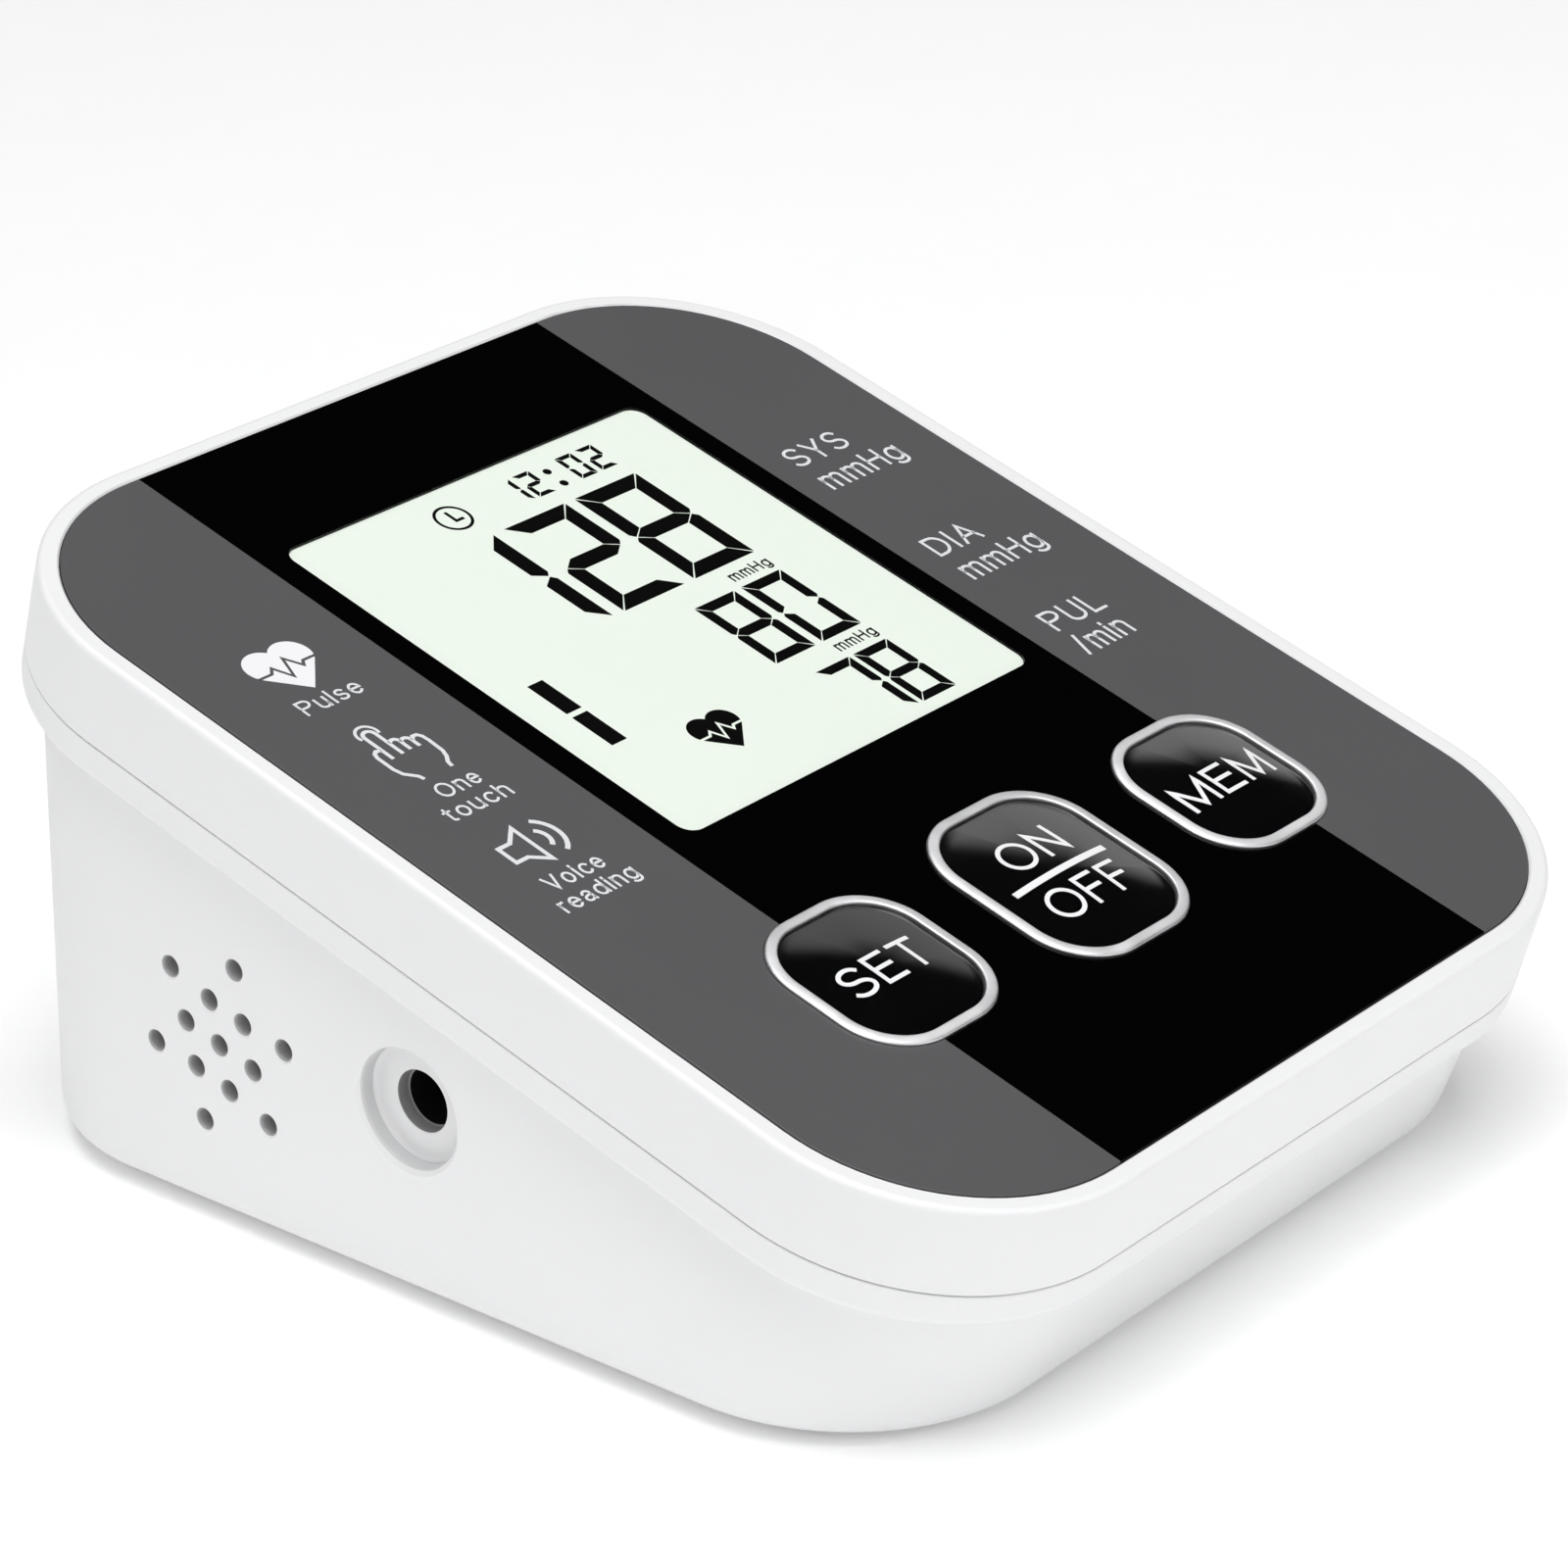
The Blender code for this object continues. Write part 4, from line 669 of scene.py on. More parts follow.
def build_face():
    sections = ((0.0, -FACE_THICKNESS), (0.0, -0.12), (-0.04, -0.04), (-0.12, 0.0))
    face = loft_object("face_panel", [on_panel(face_outline(by), n) for by, n in sections])

    def openings(mesh):
        for outline in [window_outline(0.0)] + [key_outline(key, 0.06, 16) for key in KEYS]:
            add_prism(mesh, outline, -3.0, 1.0, PANEL)

    combine(face, openings)

    # Cut along the edges of the black band, so that each tone has its own faces.
    mesh = bmesh.new()
    mesh.from_mesh(face.data)
    for side in (-1, 1):
        geometry = mesh.verts[:] + mesh.edges[:] + mesh.faces[:]
        bmesh.ops.bisect_plane(mesh, geom=geometry, plane_co=(side * BLACK_BAND_HALF * MM, 0.0, 0.0),
                               plane_no=(1.0, 0.0, 0.0), dist=1e-7)
    for piece in mesh.faces:
        centre = piece.calc_center_median()
        piece.material_index = 1 if abs(centre.x) > BLACK_BAND_HALF * MM else 0
    mesh.to_mesh(face.data)
    mesh.free()
    dress(face, CASE, [M["face_black"], M["face_grey"]], ["faceplate"], sharp=50.0)


def build_display():
    sheet = window_outline(-0.03)
    lens = mesh_object("display_window", lambda mesh: add_prism(mesh, sheet, -0.14, -0.04, PANEL))
    dress(lens, CASE, [M["lens"]], ["display_lens"])

    base = rounded_rectangle(GLASS_HALF[0], GLASS_HALF[1], 0.6, LCD_CENTRE, 12)
    face = window_outline(-0.02)
    sections = ((base, -4.1), (base, -1.9), (face, -1.9), (face, LCD_FACE_N))
    lcd = loft_object("display_panel", [on_panel(outline, n) for outline, n in sections])
    dress(lcd, CASE, [M["lcd"]], ["lcd_glass"])


def build_rings_and_keys():
    for key in KEYS:
        name, u, v = key[:3]

        def ring(mesh):
            loops = [on_panel(key_outline(key, -inset, 20), n) for inset, n in RING_SECTION]
            add_loft(mesh, loops, closed=True)

        item = mesh_object(f"{name}_ring_plated", ring)
        dress(item, CASE, [M["ring_chrome"]], [f"{name}_ring"], sharp=60.0)

        def cap(mesh):
            loops = [on_panel(key_outline(key, 0.3, 20), n) for n in KEY_FLANGE_N]
            rim = key_outline(key, -RING_WIDTH - KEY_GAP, 20)
            loops.append(on_panel(rim, KEY_FLANGE_N[1]))
            loops.append(on_panel(rim, KEY_EDGE_N - 0.18))
            # Rings of points up the crown, from just inside the rim to almost its middle.
            for step in range(22):
                share = 1.0 - 0.006 - 0.974 * (step / 21)
                loop = []
                for x, y in rim:
                    x, y = u + (x - u) * share, v + (y - v) * share
                    loop.append(PANEL @ Vector((x, y, cap_height(x, y, key))))
                loops.append(loop)
            add_loft(mesh, loops)

        def stem(mesh):
            add_prism(mesh, circle(KEY_STEM_RADIUS, 32, (u, v)), *KEY_STEM_N, PANEL)

        item = mesh_object(f"{name}_key_cap", cap)
        combine(item, stem, "UNION")
        dress(item, f"{name}_key_body", [M["key_black"]], [f"{name}_key"], sharp=50.0)


def cap_height(x, y, key):
    """Height of a key cap's crowned surface above the panel."""
    _, u, v, half_u, half_v, _ = key
    start = RING_WIDTH + KEY_GAP
    across = abs(x - u) / (half_u - start)
    along = abs(y - v) / (half_v - start)
    reach = (across ** KEY_CROWN_POWER + along ** KEY_CROWN_POWER) ** (2.0 / KEY_CROWN_POWER)
    return KEY_EDGE_N + KEY_CROWN * max(0.0, 1.0 - reach)


# ---- printed marks

def stroke(mesh, points, width, heights, closed=False):
    """Ribbon along a line of (u, v) points with mitred joints; heights(u, v) gives its two levels."""
    count = len(points)
    loops = []
    for index in range(count):
        here = Vector(points[index])
        directions = []
        if index > 0 or closed:
            directions.append((here - Vector(points[index - 1])).normalized())
        if index < count - 1 or closed:
            directions.append((Vector(points[(index + 1) % count]) - here).normalized())
        tangent = sum(directions, Vector((0.0, 0.0))).normalized()
        reach = 0.5 * width / max(0.45, tangent.dot(directions[0]))
        side = Vector((-tangent.y, tangent.x)) * reach
        loop = []
        for place, side_index in ((here + side, 0), (here - side, 0), (here - side, 1), (here + side, 1)):
            n = heights(place.x, place.y)[side_index]
            loop.append(PANEL @ Vector((place.x, place.y, n)))
        loops.append(loop)
    add_loft(mesh, loops, closed)


def bow(x, y, radius_x, radius_y, start, end, steps=14):
    """Points along an elliptical arc, in degrees."""
    points = []
    for step in range(steps + 1):
        angle = math.radians(start + (end - start) * step / steps)
        points.append((x + radius_x * math.cos(angle), y + radius_y * math.sin(angle)))
    return points


def arc(centre, radius, start, end, steps=16):
    return bow(centre[0], centre[1], radius, radius, start, end, steps)


def shifted(points, corner):
    return [(corner[0] + x, corner[1] + y) for x, y in points]


def print_mark(name, build, material, body=CASE):
    """Thin raised ink of one material that rides on a body."""
    dress(mesh_object(name, build), body, [M[material]], weighted=False)


SEGMENTS = {"0": "abcdef", "1": "bc", "2": "abged", "7": "abc", "8": "abcdefg"}


def add_digit(mesh, figure, left, bottom, width, height, bar, slit, low, high):
    """Seven-segment figure with mitred ends and fine slits between its segments."""
    right, top = left + width, bottom + height
    middle = bottom + 0.5 * height
    half = 0.5 * bar
    nip = 0.5 * slit
    shapes = {
        "a": [(left + nip * 2, top), (right - nip * 2, top), (right - bar - nip, top - bar),
              (left + bar + nip, top - bar)],
        "d": [(left + bar + nip, bottom + bar), (right - bar - nip, bottom + bar),
              (right - nip * 2, bottom), (left + nip * 2, bottom)],
        "g": [(left + nip * 2 + 0.25 * bar, middle), (left + bar + nip, middle + half),
              (right - bar - nip, middle + half), (right - nip * 2 - 0.25 * bar, middle),
              (right - bar - nip, middle - half), (left + bar + nip, middle - half)],
    }
    for name, side, flip, edge, way in (("f", left, 1, top, 1), ("b", right, -1, top, 1),
                                        ("e", left, 1, bottom, -1), ("c", right, -1, bottom, -1)):
        shapes[name] = [(side, edge - way * nip * 2), (side, middle + way * (half * 0.6 + nip)),
                        (side + flip * bar * 0.25, middle + way * nip * 1.2),
                        (side + flip * bar, middle + way * (half + nip)),
                        (side + flip * bar, edge - way * (bar + nip))]
    for name in SEGMENTS[figure]:
        add_prism(mesh, shapes[name], low, high, PANEL)


def heart_outline(centre, width, height):
    """Two round lobes with straight sides down to the tip, counter-clockwise."""
    radius = 0.285 * width
    lobe = (0.5 * width - radius, 0.5 * height - radius)
    tip = (0.0, -0.5 * height)
    reach = math.hypot(lobe[0], lobe[1] - tip[1])
    start = math.atan2(tip[1] - lobe[1], tip[0] - lobe[0]) + math.acos(radius / reach)
    end = math.acos(-lobe[0] / radius)
    right = bow(lobe[0], lobe[1], radius, radius, math.degrees(start), math.degrees(end), 20)
    left = [(-x, y) for x, y in reversed(right[:-1])]
    return [(centre[0] + x, centre[1] + y) for x, y in [tip] + right + left]


PULSE_LINE = ((-0.5, 0.0), (-0.27, 0.0), (-0.185, 0.095), (-0.055, -0.18), (0.083, 0.18),
              (0.22, -0.07), (0.28, 0.012), (0.5, 0.012))


def pulse_points(centre, width, height, lift):
    """Trace across a heart, scaled about its centre and raised a little."""
    return [(centre[0] + width * x, centre[1] + lift + height * y) for x, y in PULSE_LINE]


# Letters as centre lines: width, then lines, in units of the capital height.
X_HEIGHT = 0.73
STEM = [(0, 0), (0, 1)]
SHORT_STEM = [(0, 0), (0, X_HEIGHT)]
BOWL = bow(0.23, 0.365, 0.23, 0.365, 0, 360, 24)
ARCH = [(0, 0.42)] + bow(0.21, 0.5, 0.21, 0.23, 165, 0) + [(0.42, 0)]
CURL = bow(0.28, 0.75, 0.25, 0.25, 28, 270) + bow(0.28, 0.25, 0.28, 0.25, 90, -152)
LETTERS = {
    "A": (0.62, [[(0, 0), (0.31, 1), (0.62, 0)], [(0.1, 0.34), (0.52, 0.34)]]),
    "D": (0.56, [STEM + bow(0.22, 0.5, 0.34, 0.5, 90, -90) + [(0, 0)]]),
    "E": (0.5, [[(0.48, 1), (0, 1), (0, 0), (0.5, 0)], [(0, 0.53), (0.45, 0.53)]]),
    "F": (0.46, [[(0.46, 1), (0, 1), (0, 0)], [(0, 0.52), (0.4, 0.52)]]),
    "H": (0.54, [STEM, [(0.54, 0), (0.54, 1)], [(0, 0.53), (0.54, 0.53)]]),
    "I": (0.0, [STEM]),
    "L": (0.44, [[(0, 1), (0, 0), (0.44, 0)]]),
    "M": (0.66, [STEM + [(0.33, 0.06), (0.66, 1), (0.66, 0)]]),
    "N": (0.54, [STEM + [(0.54, 0), (0.54, 1)]]),
    "O": (0.72, [bow(0.36, 0.5, 0.36, 0.5, 0, 360, 32)]),
    "P": (0.52, [STEM + bow(0.27, 0.745, 0.25, 0.255, 90, -90) + [(0, 0.49)]]),
    "S": (0.56, [CURL]),
    "T": (0.58, [[(0, 1), (0.58, 1)], [(0.29, 1), (0.29, 0)]]),
    "U": (0.54, [[(0, 1)] + bow(0.27, 0.28, 0.27, 0.28, 180, 360) + [(0.54, 1)]]),
    "V": (0.6, [[(0, 1), (0.3, 0), (0.6, 1)]]),
    "Y": (0.6, [[(0, 1), (0.3, 0.43), (0.6, 1)], [(0.3, 0.43), (0.3, 0)]]),
    "/": (0.26, [[(0, -0.02), (0.26, 1.02)]]),
    "a": (0.42, [bow(0.2, 0.51, 0.18, 0.22, 160, 0) + [(0.38, 0.1), (0.42, 0)],
                 [(0.38, 0.42), (0.2, 0.39)] + bow(0.17, 0.19, 0.17, 0.19, 100, 270)
                 + [(0.28, 0.03), (0.38, 0.16)]]),
    "c": (0.42, [bow(0.235, 0.365, 0.235, 0.365, 42, 318)]),
    "d": (0.46, [[(0.46, 0), (0.46, 1)], BOWL]),
    "e": (0.46, [[(0, 0.39), (0.46, 0.39)] + bow(0.23, 0.365, 0.23, 0.365, 8, 318)]),
    "g": (0.46, [[(0.46, X_HEIGHT), (0.46, -0.05)] + bow(0.235, -0.06, 0.225, 0.2, 0, -150), BOWL]),
    "h": (0.42, [STEM, ARCH]),
    "i": (0.0, [SHORT_STEM, [(0, 0.94), (0, 1)]]),
    "l": (0.0, [STEM]),
    "m": (0.68, [SHORT_STEM, [(0, 0.45)] + bow(0.17, 0.52, 0.17, 0.21, 165, 0) + [(0.34, 0)],
                 [(0.34, 0.45)] + bow(0.51, 0.52, 0.17, 0.21, 165, 0) + [(0.68, 0)]]),
    "n": (0.42, [SHORT_STEM, ARCH]),
    "o": (0.47, [bow(0.235, 0.365, 0.235, 0.365, 0, 360, 24)]),
    "r": (0.2, [SHORT_STEM, [(0, 0.42)] + bow(0.2, 0.5, 0.2, 0.23, 165, 90)]),
    "s": (0.4, [[(0.71 * x, X_HEIGHT * y) for x, y in CURL]]),
    "t": (0.28, [[(0.12, 0.95)] + bow(0.24, 0.13, 0.12, 0.13, 180, 270, 8),
                 [(0, X_HEIGHT), (0.28, X_HEIGHT)]]),
    "u": (0.42, [[(0, X_HEIGHT)] + bow(0.21, 0.23, 0.21, 0.23, 180, 345) + [(0.42, 0.3)],
                 [(0.42, 0), (0.42, X_HEIGHT)]]),
}


def add_words(mesh, words, left, baseline, width, cap, weight, heights, spacing=0.17):
    """Single-line lettering fitted to a width and a capital height."""
    count = len(words)
    drawn = sum(LETTERS[letter][0] for letter in words) + spacing * (count - 1)
    across = (width - weight * count) / drawn
    upward = cap - weight
    cursor = left + 0.5 * weight
    for letter in words:
        advance, lines = LETTERS[letter]
        for line in lines:
            points = [(cursor + x * across, baseline + 0.5 * weight + y * upward) for x, y in line]
            add_line(mesh, points, weight, heights)
        cursor += (advance + spacing) * across + weight


def add_line(mesh, points, weight, heights):
    """One pen line: closed where its ends meet, otherwise carried on by half its weight at both ends."""
    points = [Vector(point) for point in points]
    points = [point for index, point in enumerate(points)
              if index == 0 or (point - points[index - 1]).length > 1e-4]
    if (points[0] - points[-1]).length < 1e-4:
        stroke(mesh, points[:-1], weight, heights, closed=True)
        return
    points[0] = points[0] + (points[0] - points[1]).normalized() * 0.5 * weight
    points[-1] = points[-1] + (points[-1] - points[-2]).normalized() * 0.5 * weight
    fine = [points[0]]
    for point in points[1:]:
        pieces = max(1, math.ceil((point - fine[-1]).length / 0.9))
        start = fine[-1]
        fine += [start.lerp(point, share / pieces) for share in range(1, pieces + 1)]
    stroke(mesh, fine, weight, heights)


# Rows of figures: bottom, height, bar and slit, then the left, figure and width of each.
FIGURE_ROWS = (
    (19.95, 16.4, 1.98, 0.14, ((-13.98, "1", 9.0), (-3.45, "2", 8.95), (6.9, "8", 9.1))),
    (5.55, 10.85, 1.28, 0.12, ((2.83, "8", 5.95), (9.81, "0", 5.95))),
    (-6.75, 9.15, 1.1, 0.11, ((5.0, "7", 5.1), (10.68, "8", 5.1))),
    (38.45, 4.05, 0.56, 0.09, ((1.26, "1", 2.36), (4.2, "2", 2.36), (10.48, "0", 2.36), (13.5, "2", 2.36))),
)
CLOCK_COLON = (8.22, (41.3, 38.95), 0.48)
# Left, right, height and bottoms of the two bars of the memory figure.
MEMORY_BARS = (-21.1, -19.03, 5.18, (11.2, 5.34))


def build_display_marks():
    low, high = LCD_FACE_N - 0.02, LCD_FACE_N + 0.02
    slide_u, slide_v = -high * PARALLAX[0], -high * PARALLAX[1]

    def flat(u, v):
        return low, high

    def marks(mesh):
        for bottom, height, bar, slit, figures in FIGURE_ROWS:
            for left, figure, width in figures:
                add_digit(mesh, figure, left + slide_u, bottom + slide_v, width, height, bar, slit, low, high)
        dot_u, dots_v, radius = CLOCK_COLON
        for v in dots_v:
            add_prism(mesh, circle(radius, 20, (dot_u + slide_u, v + slide_v)), low, high, PANEL)
        left, right, height, bottoms = MEMORY_BARS
        for bottom in bottoms:
            add_box(mesh, (left + slide_u, bottom + slide_v, low),
                    (right + slide_u, bottom + height + slide_v, high), PANEL)

    print_mark("display_figures", marks, "segment")

    def small(mesh):
        centre = (-6.28 + slide_u, 40.48 + slide_v)
        add_line(mesh, arc(centre, 1.92, 0.0, 360.0, 40), 0.33, flat)
        stroke(mesh, shifted([(-0.05, 1.15), (-0.05, -0.5), (1.0, -0.5)], centre), 0.38, flat)
        for baseline in (17.35, 3.38):
            add_words(mesh, "mmHg", 10.12 + slide_u, baseline + slide_v, 5.8, 1.5, 0.21, flat)

    print_mark("display_units", small, "segment")

    centre = (-10.27 + slide_u, 1.03 + slide_v)
    heart = heart_outline(centre, 6.28, 5.66)
    print_mark("display_heart", lambda mesh: add_prism(mesh, heart, low, high, PANEL), "segment")
    trace = pulse_points(centre, 6.1, 5.9, 0.05)
    print_mark("display_heart_line", lambda mesh: stroke(mesh, trace, 0.28, lambda u, v: (low, high + 0.01)),
               "lcd")


# Pen weight of each column, then words, left, baseline, width and capital height.
LABELS = {
    "labels_right": (0.36, (
        ("SYS", 31.9, 27.66, 8.45, 3.15), ("mmHg", 31.95, 22.98, 12.05, 3.15),
        ("DIA", 32.15, 8.72, 7.1, 3.15), ("mmHg", 31.95, 4.1, 12.05, 3.15),
        ("PUL", 32.2, -6.65, 8.15, 3.15), ("/min", 31.75, -11.0, 7.8, 3.15),
    )),
    "labels_left": (0.27, (
        ("Pulse", -42.2, 24.35, 7.6, 2.2), ("One", -40.6, 8.2, 5.2, 2.1), ("touch", -42.6, 5.25, 8.2, 2.1),
        ("Voice", -42.25, -7.15, 7.1, 2.1), ("reading", -43.6, -10.05, 9.9, 2.1),
    )),
}
PRINT_LEVELS = (-0.04, 0.025)


def build_panel_marks():
    low, high = PRINT_LEVELS

    def flat(u, v):
        return low, high

    for name, (weight, rows) in LABELS.items():
        def labels(mesh):
            for words, left, baseline, width, cap in rows:
                add_words(mesh, words, left, baseline, width, cap, weight, flat)

        print_mark(name, labels, "print")

    centre = (-38.42, 30.92)
    heart = heart_outline(centre, 7.86, 7.2)
    print_mark("icon_heart", lambda mesh: add_prism(mesh, heart, low, high, PANEL), "key_print")
    trace = pulse_points(centre, 7.5, 7.5, 0.1)
    print_mark("icon_heart_line", lambda mesh: stroke(mesh, trace, 0.33, lambda u, v: (low, high + 0.012)),
               "face_grey")

    def hand(mesh):
        corner = (-41.6, 11.35)
        finger = ([(1.35, 3.9), (1.35, 7.6)] + arc((2.04, 7.65), 0.69, 165.0, 15.0, 8)
                  + [(2.73, 7.6), (2.73, 4.0)])
        stroke(mesh, shifted(finger, corner), 0.42, flat)
        stroke(mesh, shifted(arc((2.04, 7.95), 1.2, 200.0, -20.0, 14), corner), 0.32, flat)
        lines = (
            [(2.75, 5.8)] + arc((3.32, 5.55), 0.55, 140.0, 10.0, 6) + [(3.85, 4.1)],
            [(3.9, 5.35)] + arc((4.4, 5.15), 0.55, 140.0, 10.0, 6) + [(4.95, 4.0)],
            [(4.97, 5.0), (5.4, 5.45), (5.9, 5.4), (6.2, 4.95), (6.28, 4.2), (6.2, 2.3), (5.9, 1.5),
             (5.35, 0.8), (5.2, 0.1)],
            [(1.3, 5.45), (0.75, 5.62), (0.35, 5.35), (0.15, 4.8), (0.15, 2.7), (0.4, 1.75), (1.4, 0.7),
             (1.55, 0.1)],
        )
        for points in lines:
            stroke(mesh, shifted(points, corner), 0.42, flat)

    print_mark("icon_hand", hand, "print")

    def horn(mesh):
        corner = (-42.3, -3.8)
        body = [(1.75, 1.6), (3.55, 0.2), (3.55, 5.5), (1.75, 3.95), (0.2, 3.95), (0.2, 1.6)]
        stroke(mesh, shifted(body, corner), 0.46, flat, closed=True)
        for radius, spread in ((1.55, 52.0), (2.95, 56.0)):
            centre = (corner[0] + 4.05, corner[1] + 2.87)
            stroke(mesh, arc(centre, radius, -spread, spread, 12), 0.5, flat)

    print_mark("icon_speaker", horn, "print")


# Words, left, baseline, width and capital height on each key.
KEY_WORDS = {
    "set": (("SET", -31.1, -34.2, 10.8, 4.0),),
    "power": (("ON", -4.03, -30.65, 8.06, 4.1), ("OFF", -5.55, -37.8, 11.1, 4.0)),
    "memory": (("MEM", 19.2, -34.25, 13.0, 4.0),),
}
KEY_PEN = 0.47
# The bar between the words of the middle key, and its weight.
KEY_BAR = ((-6.35, -32.3), (6.35, -32.3))
KEY_BAR_PEN = 0.75


def build_key_marks():
    for key in KEYS:
        name = key[0]

        def on_cap(x, y):
            height = cap_height(x, y, key)
            return height - 0.12, height + 0.025

        def marks(mesh):
            for words, left, baseline, width, cap in KEY_WORDS[name]:
                add_words(mesh, words, left, baseline, width, cap, KEY_PEN, on_cap, spacing=0.15)
            if name == "power":
                add_line(mesh, KEY_BAR, KEY_BAR_PEN, on_cap)

        print_mark(f"{name}_key_label", marks, "key_print", f"{name}_key_body")


# ---- hose socket

def build_socket():
    """Hose inlet: a filleted mouth in the recess, a flange behind the wall and barbs for the hoses."""
    outer = SOCKET_HOLE_RADIUS - 0.02

    def body(mesh):
        profile = [(outer - 0.75, -48.6), (outer - 0.4, -48.65), (outer - 0.15, -48.77), (outer, -48.95),
                   (outer, -47.2), (8.4, -47.2), (8.4, -45.7), (4.5, -45.7), (4.5, -35.8)]
        add_stack(mesh, profile, SOCKET_AXIS, 72)

    item = mesh_object("hose_inlet", body)

    def barbs(mesh):
        for x, tip in ((-43.2, -5.0), (-38.4, -4.2)):
            barb = Matrix.Translation((x, 0.0, SOCKET_Z)) @ ALONG_Y
            add_stack(mesh, ((1.1, tip), (1.1, SOCKET_Y - 3.6)), barb, 24)
        barb = Matrix.Translation((0.0, 7.2, 22.4)) @ ALONG_X
        add_stack(mesh, ((1.1, -36.8), (1.1, -31.2)), barb, 24)

    combine(item, barbs, "UNION")

    def bore(mesh):
        profile = ((4.2, -49.6), (3.35, -48.62), (3.12, -48.5), (3.05, -48.3), (3.05, -47.2),
                   (2.85, -47.15), (2.85, -39.5))
        add_stack(mesh, profile, SOCKET_AXIS, 64)

    combine(item, bore)
    # The mouth of the bore is painted grey and the rest of it dark: painted shade that deepens into the hole.
    centre = Vector((0.0, (SOCKET_Y + SHIFT_Y) * MM, SOCKET_Z * MM))
    for face in item.data.polygons:
        middle = face.center - centre
        distance = math.hypot(middle.y, middle.z) / MM
        depth = face.center.x / MM
        if distance < 3.2 and -48.45 < depth < -47.17:
            face.material_index = 1
        elif distance < 3.2 and -47.21 < depth < -39.4:
            face.material_index = 2
        else:
            face.material_index = 0
    dress(item, CASE, [M["socket_plastic"], M["socket_mouth_shade"], M["socket_bore_shade"]], ["air_socket"],
          sharp=35.0)


# ---- pieces kept in their CAD shape

def carry_over():
    """Every other CAD node, welded and smooth shaded, in the finish its slot asks for."""
    slots = {row["node"]: row["material_slot"] for row in frame["record"]["subparts"]}
    done = set()
    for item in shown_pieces():
        done.update(item.get("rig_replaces", []))
    for node, source in sorted(frame["nodes"].items()):
        if node in done:
            continue
        mesh = bmesh.new()
        mesh.from_mesh(source.data)
        bmesh.ops.remove_doubles(mesh, verts=mesh.verts[:], dist=1e-6)
        bmesh.ops.dissolve_limit(mesh, angle_limit=math.radians(0.5), verts=mesh.verts[:],
                                 edges=mesh.edges[:])
        data = bpy.data.meshes.new(f"{node}_piece")
        mesh.to_mesh(data)
        mesh.free()
        item = new_object(f"{node}_piece", data)
        slot = slots[node]
        cell = slot == "battery_jacket"
        materials = [M[slot], M["cell_end"]] if cell else [M[slot]]
        dress(item, source["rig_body"], materials, [node], sharp=32.0)
        if cell:
            low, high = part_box(node)
            for face in item.data.polygons:
                near = min(face.center.y - low.y, high.y - face.center.y)
                face.material_index = 1 if near < CELL_END_BAND * MM else 0


# ---- stage

# Axes and place of the camera.
CAMERA_RIGHT = Vector((0.64362385, -0.76489428, -0.02617398))
CAMERA_UP = Vector((0.32812936, 0.24488659, 0.91233858))
CAMERA_BACK = Vector((-0.69143291, -0.59579132, 0.40859912))
CAMERA_PLACE = Vector((-347.461, -297.056 + SHIFT_Y, 239.996 + CASE_BOTTOM_Z)) * MM
PANEL_NORMAL = (PANEL.to_3x3() @ Vector((0.0, 0.0, 1.0))).normalized()
# Where the camera looks when mirrored in the flat panel.
MIRROR = 2.0 * CAMERA_BACK.dot(PANEL_NORMAL) * PANEL_NORMAL - CAMERA_BACK
CAMERA_LENS = 119.87
# The room's brightness, and the span of the mirrored direction over which it fades to nothing.
ROOM_STRENGTH = 0.46
ROOM_FADE = (0.25, 0.8)
FLOOR_REACH = 3.0
FLOOR_GLOW = 0.12
# Name, place, width, height and power of the room's softboxes.
LAMPS = (
    ("key", (-1.0, -0.45, 0.95), 0.9, 0.9, 2.6),
    ("overhead", (-0.15, -0.15, 1.7), 1.2, 1.2, 23.5),
    ("front", (0.35, -1.25, 0.7), 0.9, 0.6, 2.6),
)
# Softboxes mirrored by the key caps: their size, how far past the mirrored ray each begins, and
# its power.
GLOSS_WIDTH = 1.4
GLOSS_DEPTH = 0.9
GLOSS = {"set": (0.0, 3.7), "power": (0.0, 5.6), "memory": (0.03, 5.6)}
RING_GLOW_SIZE = 1.1
RING_GLOW_POWER = 2.6


def add_lamp(name, place, target, width, height, power, upright=None):
    """Soft rectangular light at a place, facing the target; its width runs along upright x view."""
    lamp = bpy.data.lights.new(name, "AREA")
    lamp.shape = "RECTANGLE"
    lamp.size = width
    lamp.size_y = height
    lamp.energy = power
    item = new_object(name, lamp)
    back = (place - target).normalized()
    up = upright or Vector((0.0, 0.0, 1.0))
    side = up.cross(back).normalized()
    turn = Matrix((side, back.cross(side), back)).transposed().to_4x4()
    item.matrix_world = Matrix.Translation(place) @ turn
    return item


def link_lamp(lamp, pieces):
    """Let a light reach only some pieces, as a flag held close to them would."""
    receivers = bpy.data.collections.new(f"{lamp.name}_receivers")
    for piece in pieces:
        receivers.objects.link(piece)
    lamp.light_linking.receiver_collection = receivers


def fade_in(item):
    """Softbox that brightens from its lower edge upwards."""
    item.data.use_nodes = True
    tree = item.data.node_tree
    split = tree.nodes.new("ShaderNodeSeparateXYZ")
    tree.links.new(tree.nodes.new("ShaderNodeNewGeometry").outputs["Parametric"], split.inputs[0])
    ramp = add_range(tree, split.outputs["Y"], 0.0, 1.0, source=(0.0, 0.12))
    tree.links.new(ramp, tree.nodes["Emission"].inputs["Strength"])


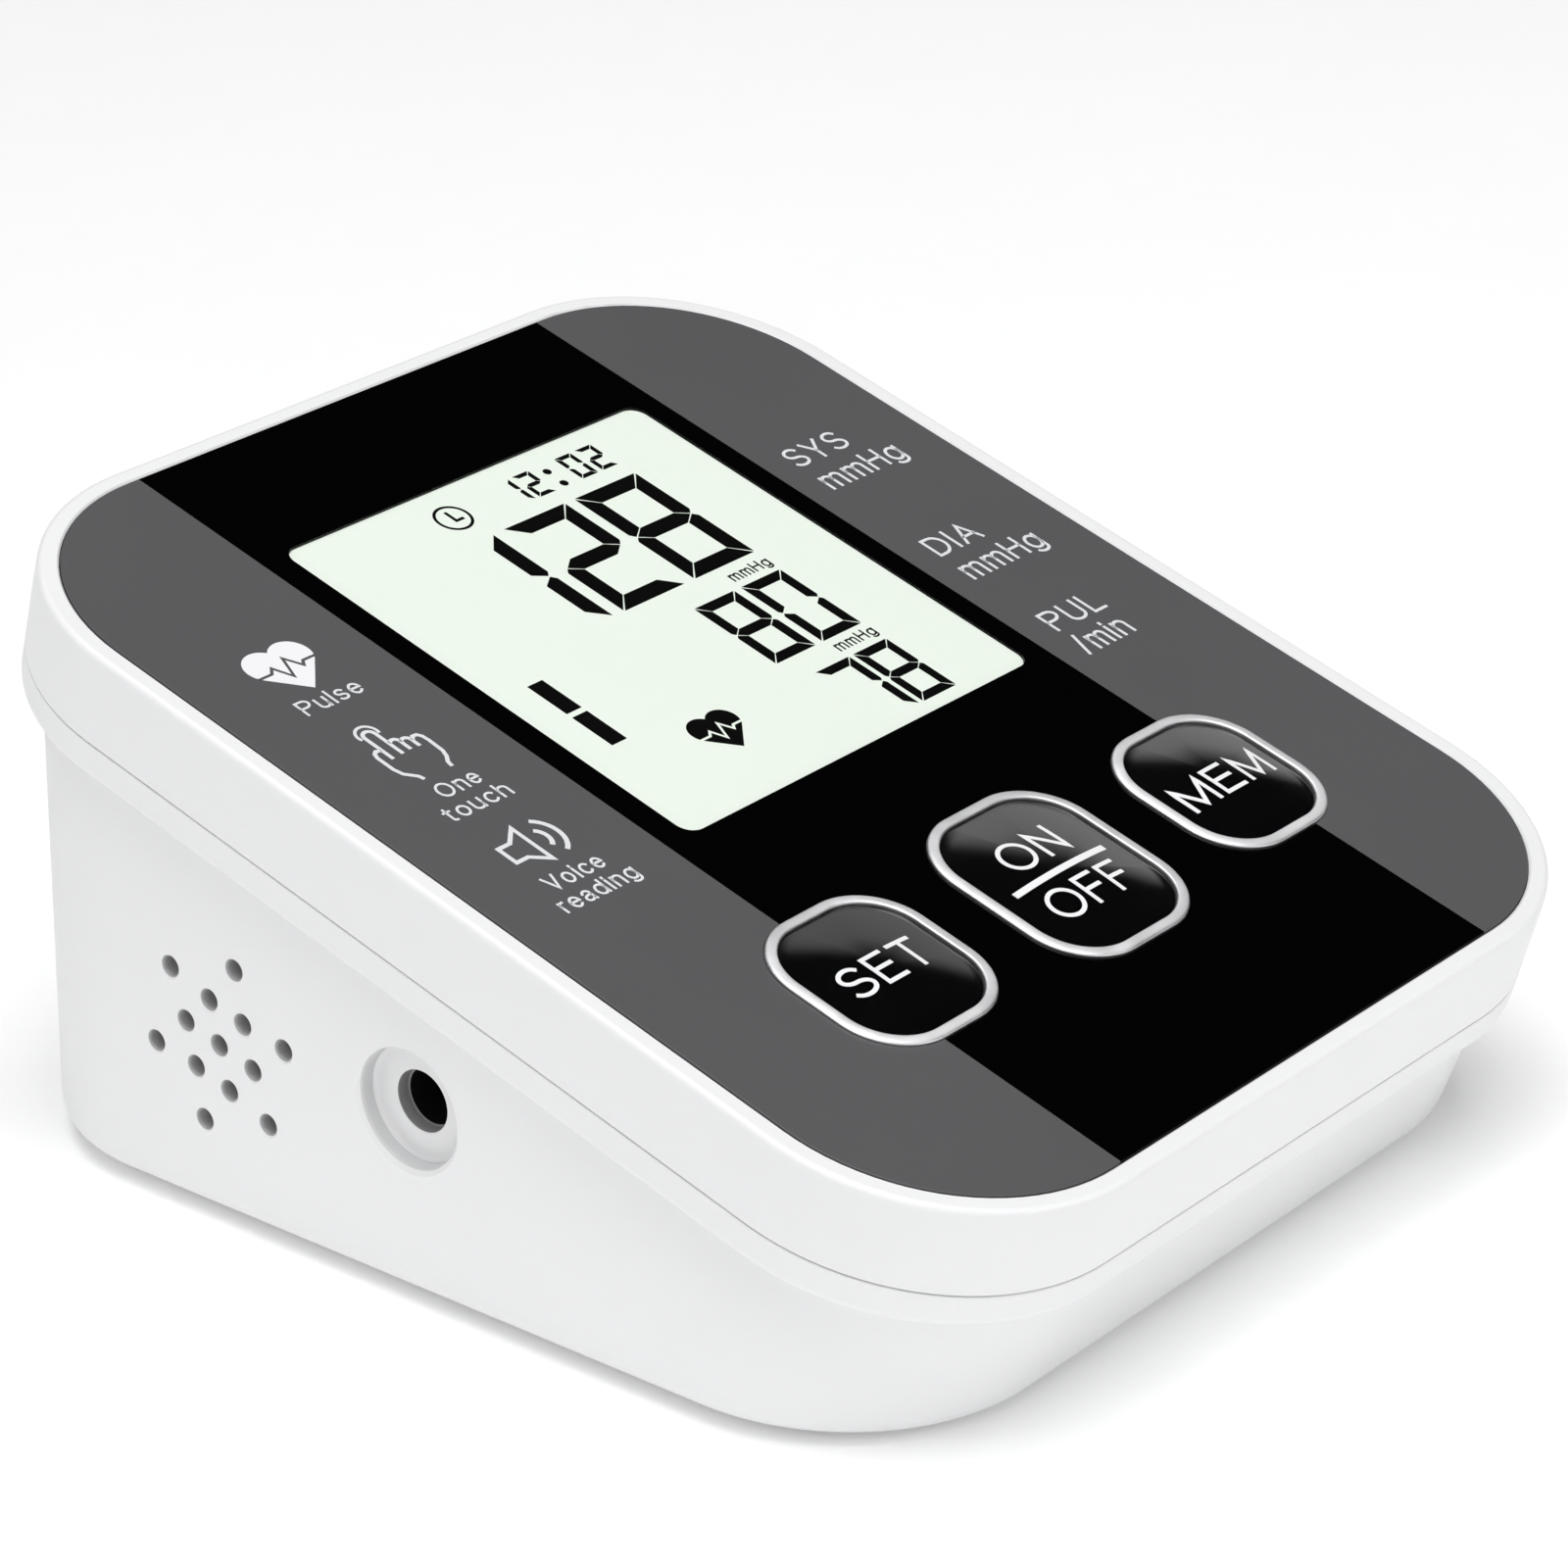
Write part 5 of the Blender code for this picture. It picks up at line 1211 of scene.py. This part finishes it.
def build_gloss():
    """Softboxes mirrored by the key caps and their rings."""
    for name, u, v, *_ in KEYS:
        centre = (PLACE @ PANEL @ Vector((u, v, 0.0))) * MM
        view = (CAMERA_PLACE - centre).normalized()
        mirror = 2.0 * view.dot(PANEL_NORMAL) * PANEL_NORMAL - view
        # Where the mirrored ray goes as the cap leans to the upper right.
        lean = (PANEL.to_3x3() @ Vector((1.0, 1.0, 0.0))).normalized()
        drift = view.dot(lean) * PANEL_NORMAL + view.dot(PANEL_NORMAL) * lean
        cross = (PANEL.to_3x3() @ Vector((1.0, -1.0, 0.0))).normalized()
        edge = view.dot(cross) * PANEL_NORMAL + view.dot(PANEL_NORMAL) * cross
        edge = (edge - mirror * edge.dot(mirror)).normalized()
        away = mirror.cross(edge)
        if away.dot(drift) < 0:
            away = -away
        start, power = GLOSS[name]
        place = centre + mirror + away * (start + 0.5 * GLOSS_DEPTH)
        lamp = add_lamp(f"gloss_{name}", place, centre, GLOSS_WIDTH, GLOSS_DEPTH, power, away)
        fade_in(lamp)
        link_lamp(lamp, [bpy.data.objects[f"{name}_key_cap"]])
    centre = (PLACE @ PANEL @ Vector((0.0, KEY_ROW_V, 0.0))) * MM
    lamp = add_lamp("ring_glow", centre + MIRROR, centre, RING_GLOW_SIZE, RING_GLOW_SIZE, RING_GLOW_POWER)
    link_lamp(lamp, [bpy.data.objects[f"{key[0]}_ring_plated"] for key in KEYS])


def build_stage():
    world = bpy.data.worlds.new("studio")
    bpy.context.scene.world = world
    world.use_nodes = True
    tree = world.node_tree
    background = tree.nodes["Background"]
    background.inputs["Color"].default_value = (0.985, 0.99, 1.0, 1.0)
    # The room is dark where the flat panel would mirror it, so black stays black.
    direction = tree.nodes.new("ShaderNodeTexCoord").outputs["Generated"]
    dot = tree.nodes.new("ShaderNodeVectorMath")
    dot.operation = "DOT_PRODUCT"
    dot.inputs[1].default_value = MIRROR
    tree.links.new(direction, dot.inputs[0])
    strength = add_range(tree, dot.outputs["Value"], ROOM_STRENGTH, 0.0, ROOM_FADE, "SMOOTHSTEP")
    tree.links.new(strength, background.inputs["Strength"])

    floor_mesh = bpy.data.meshes.new("floor")
    corners = [(side_x * FLOOR_REACH, side_y * FLOOR_REACH, 0.0)
               for side_x, side_y in ((-1, -1), (1, -1), (1, 1), (-1, 1))]
    floor_mesh.from_pydata(corners, [], [(0, 1, 2, 3)])
    floor = new_object("floor", floor_mesh)
    material = surface("floor_white", (0.93, 0.93, 0.93), 0.7, tint=0.004, grain=300.0, bump=0.001,
                       specular=0.2)
    light_up(material, (1.0, 1.0, 1.0), FLOOR_GLOW)
    floor_mesh.materials.append(material)

    target = Vector((0.0, 0.0, 0.03))
    for name, place, width, height, power in LAMPS:
        add_lamp(name, Vector(place), target, width, height, power)

    camera_data = bpy.data.cameras.new("camera")
    camera_data.lens = CAMERA_LENS
    camera_data.sensor_width = 36.0
    camera_data.clip_start = 0.01
    camera_data.clip_end = 20.0
    camera = new_object("camera", camera_data)
    turn = Matrix((CAMERA_RIGHT, CAMERA_UP, CAMERA_BACK)).transposed().to_4x4()
    camera.matrix_world = Matrix.Translation(CAMERA_PLACE) @ turn
    bpy.context.scene.camera = camera
    bpy.context.scene.view_settings.view_transform = "Standard"
    bpy.context.scene.view_settings.look = "None"


build_upper_shell()
build_lower_shell()
build_face()
build_display()
build_rings_and_keys()
build_display_marks()
build_panel_marks()
build_key_marks()
build_socket()
carry_over()
build_stage()
build_gloss()
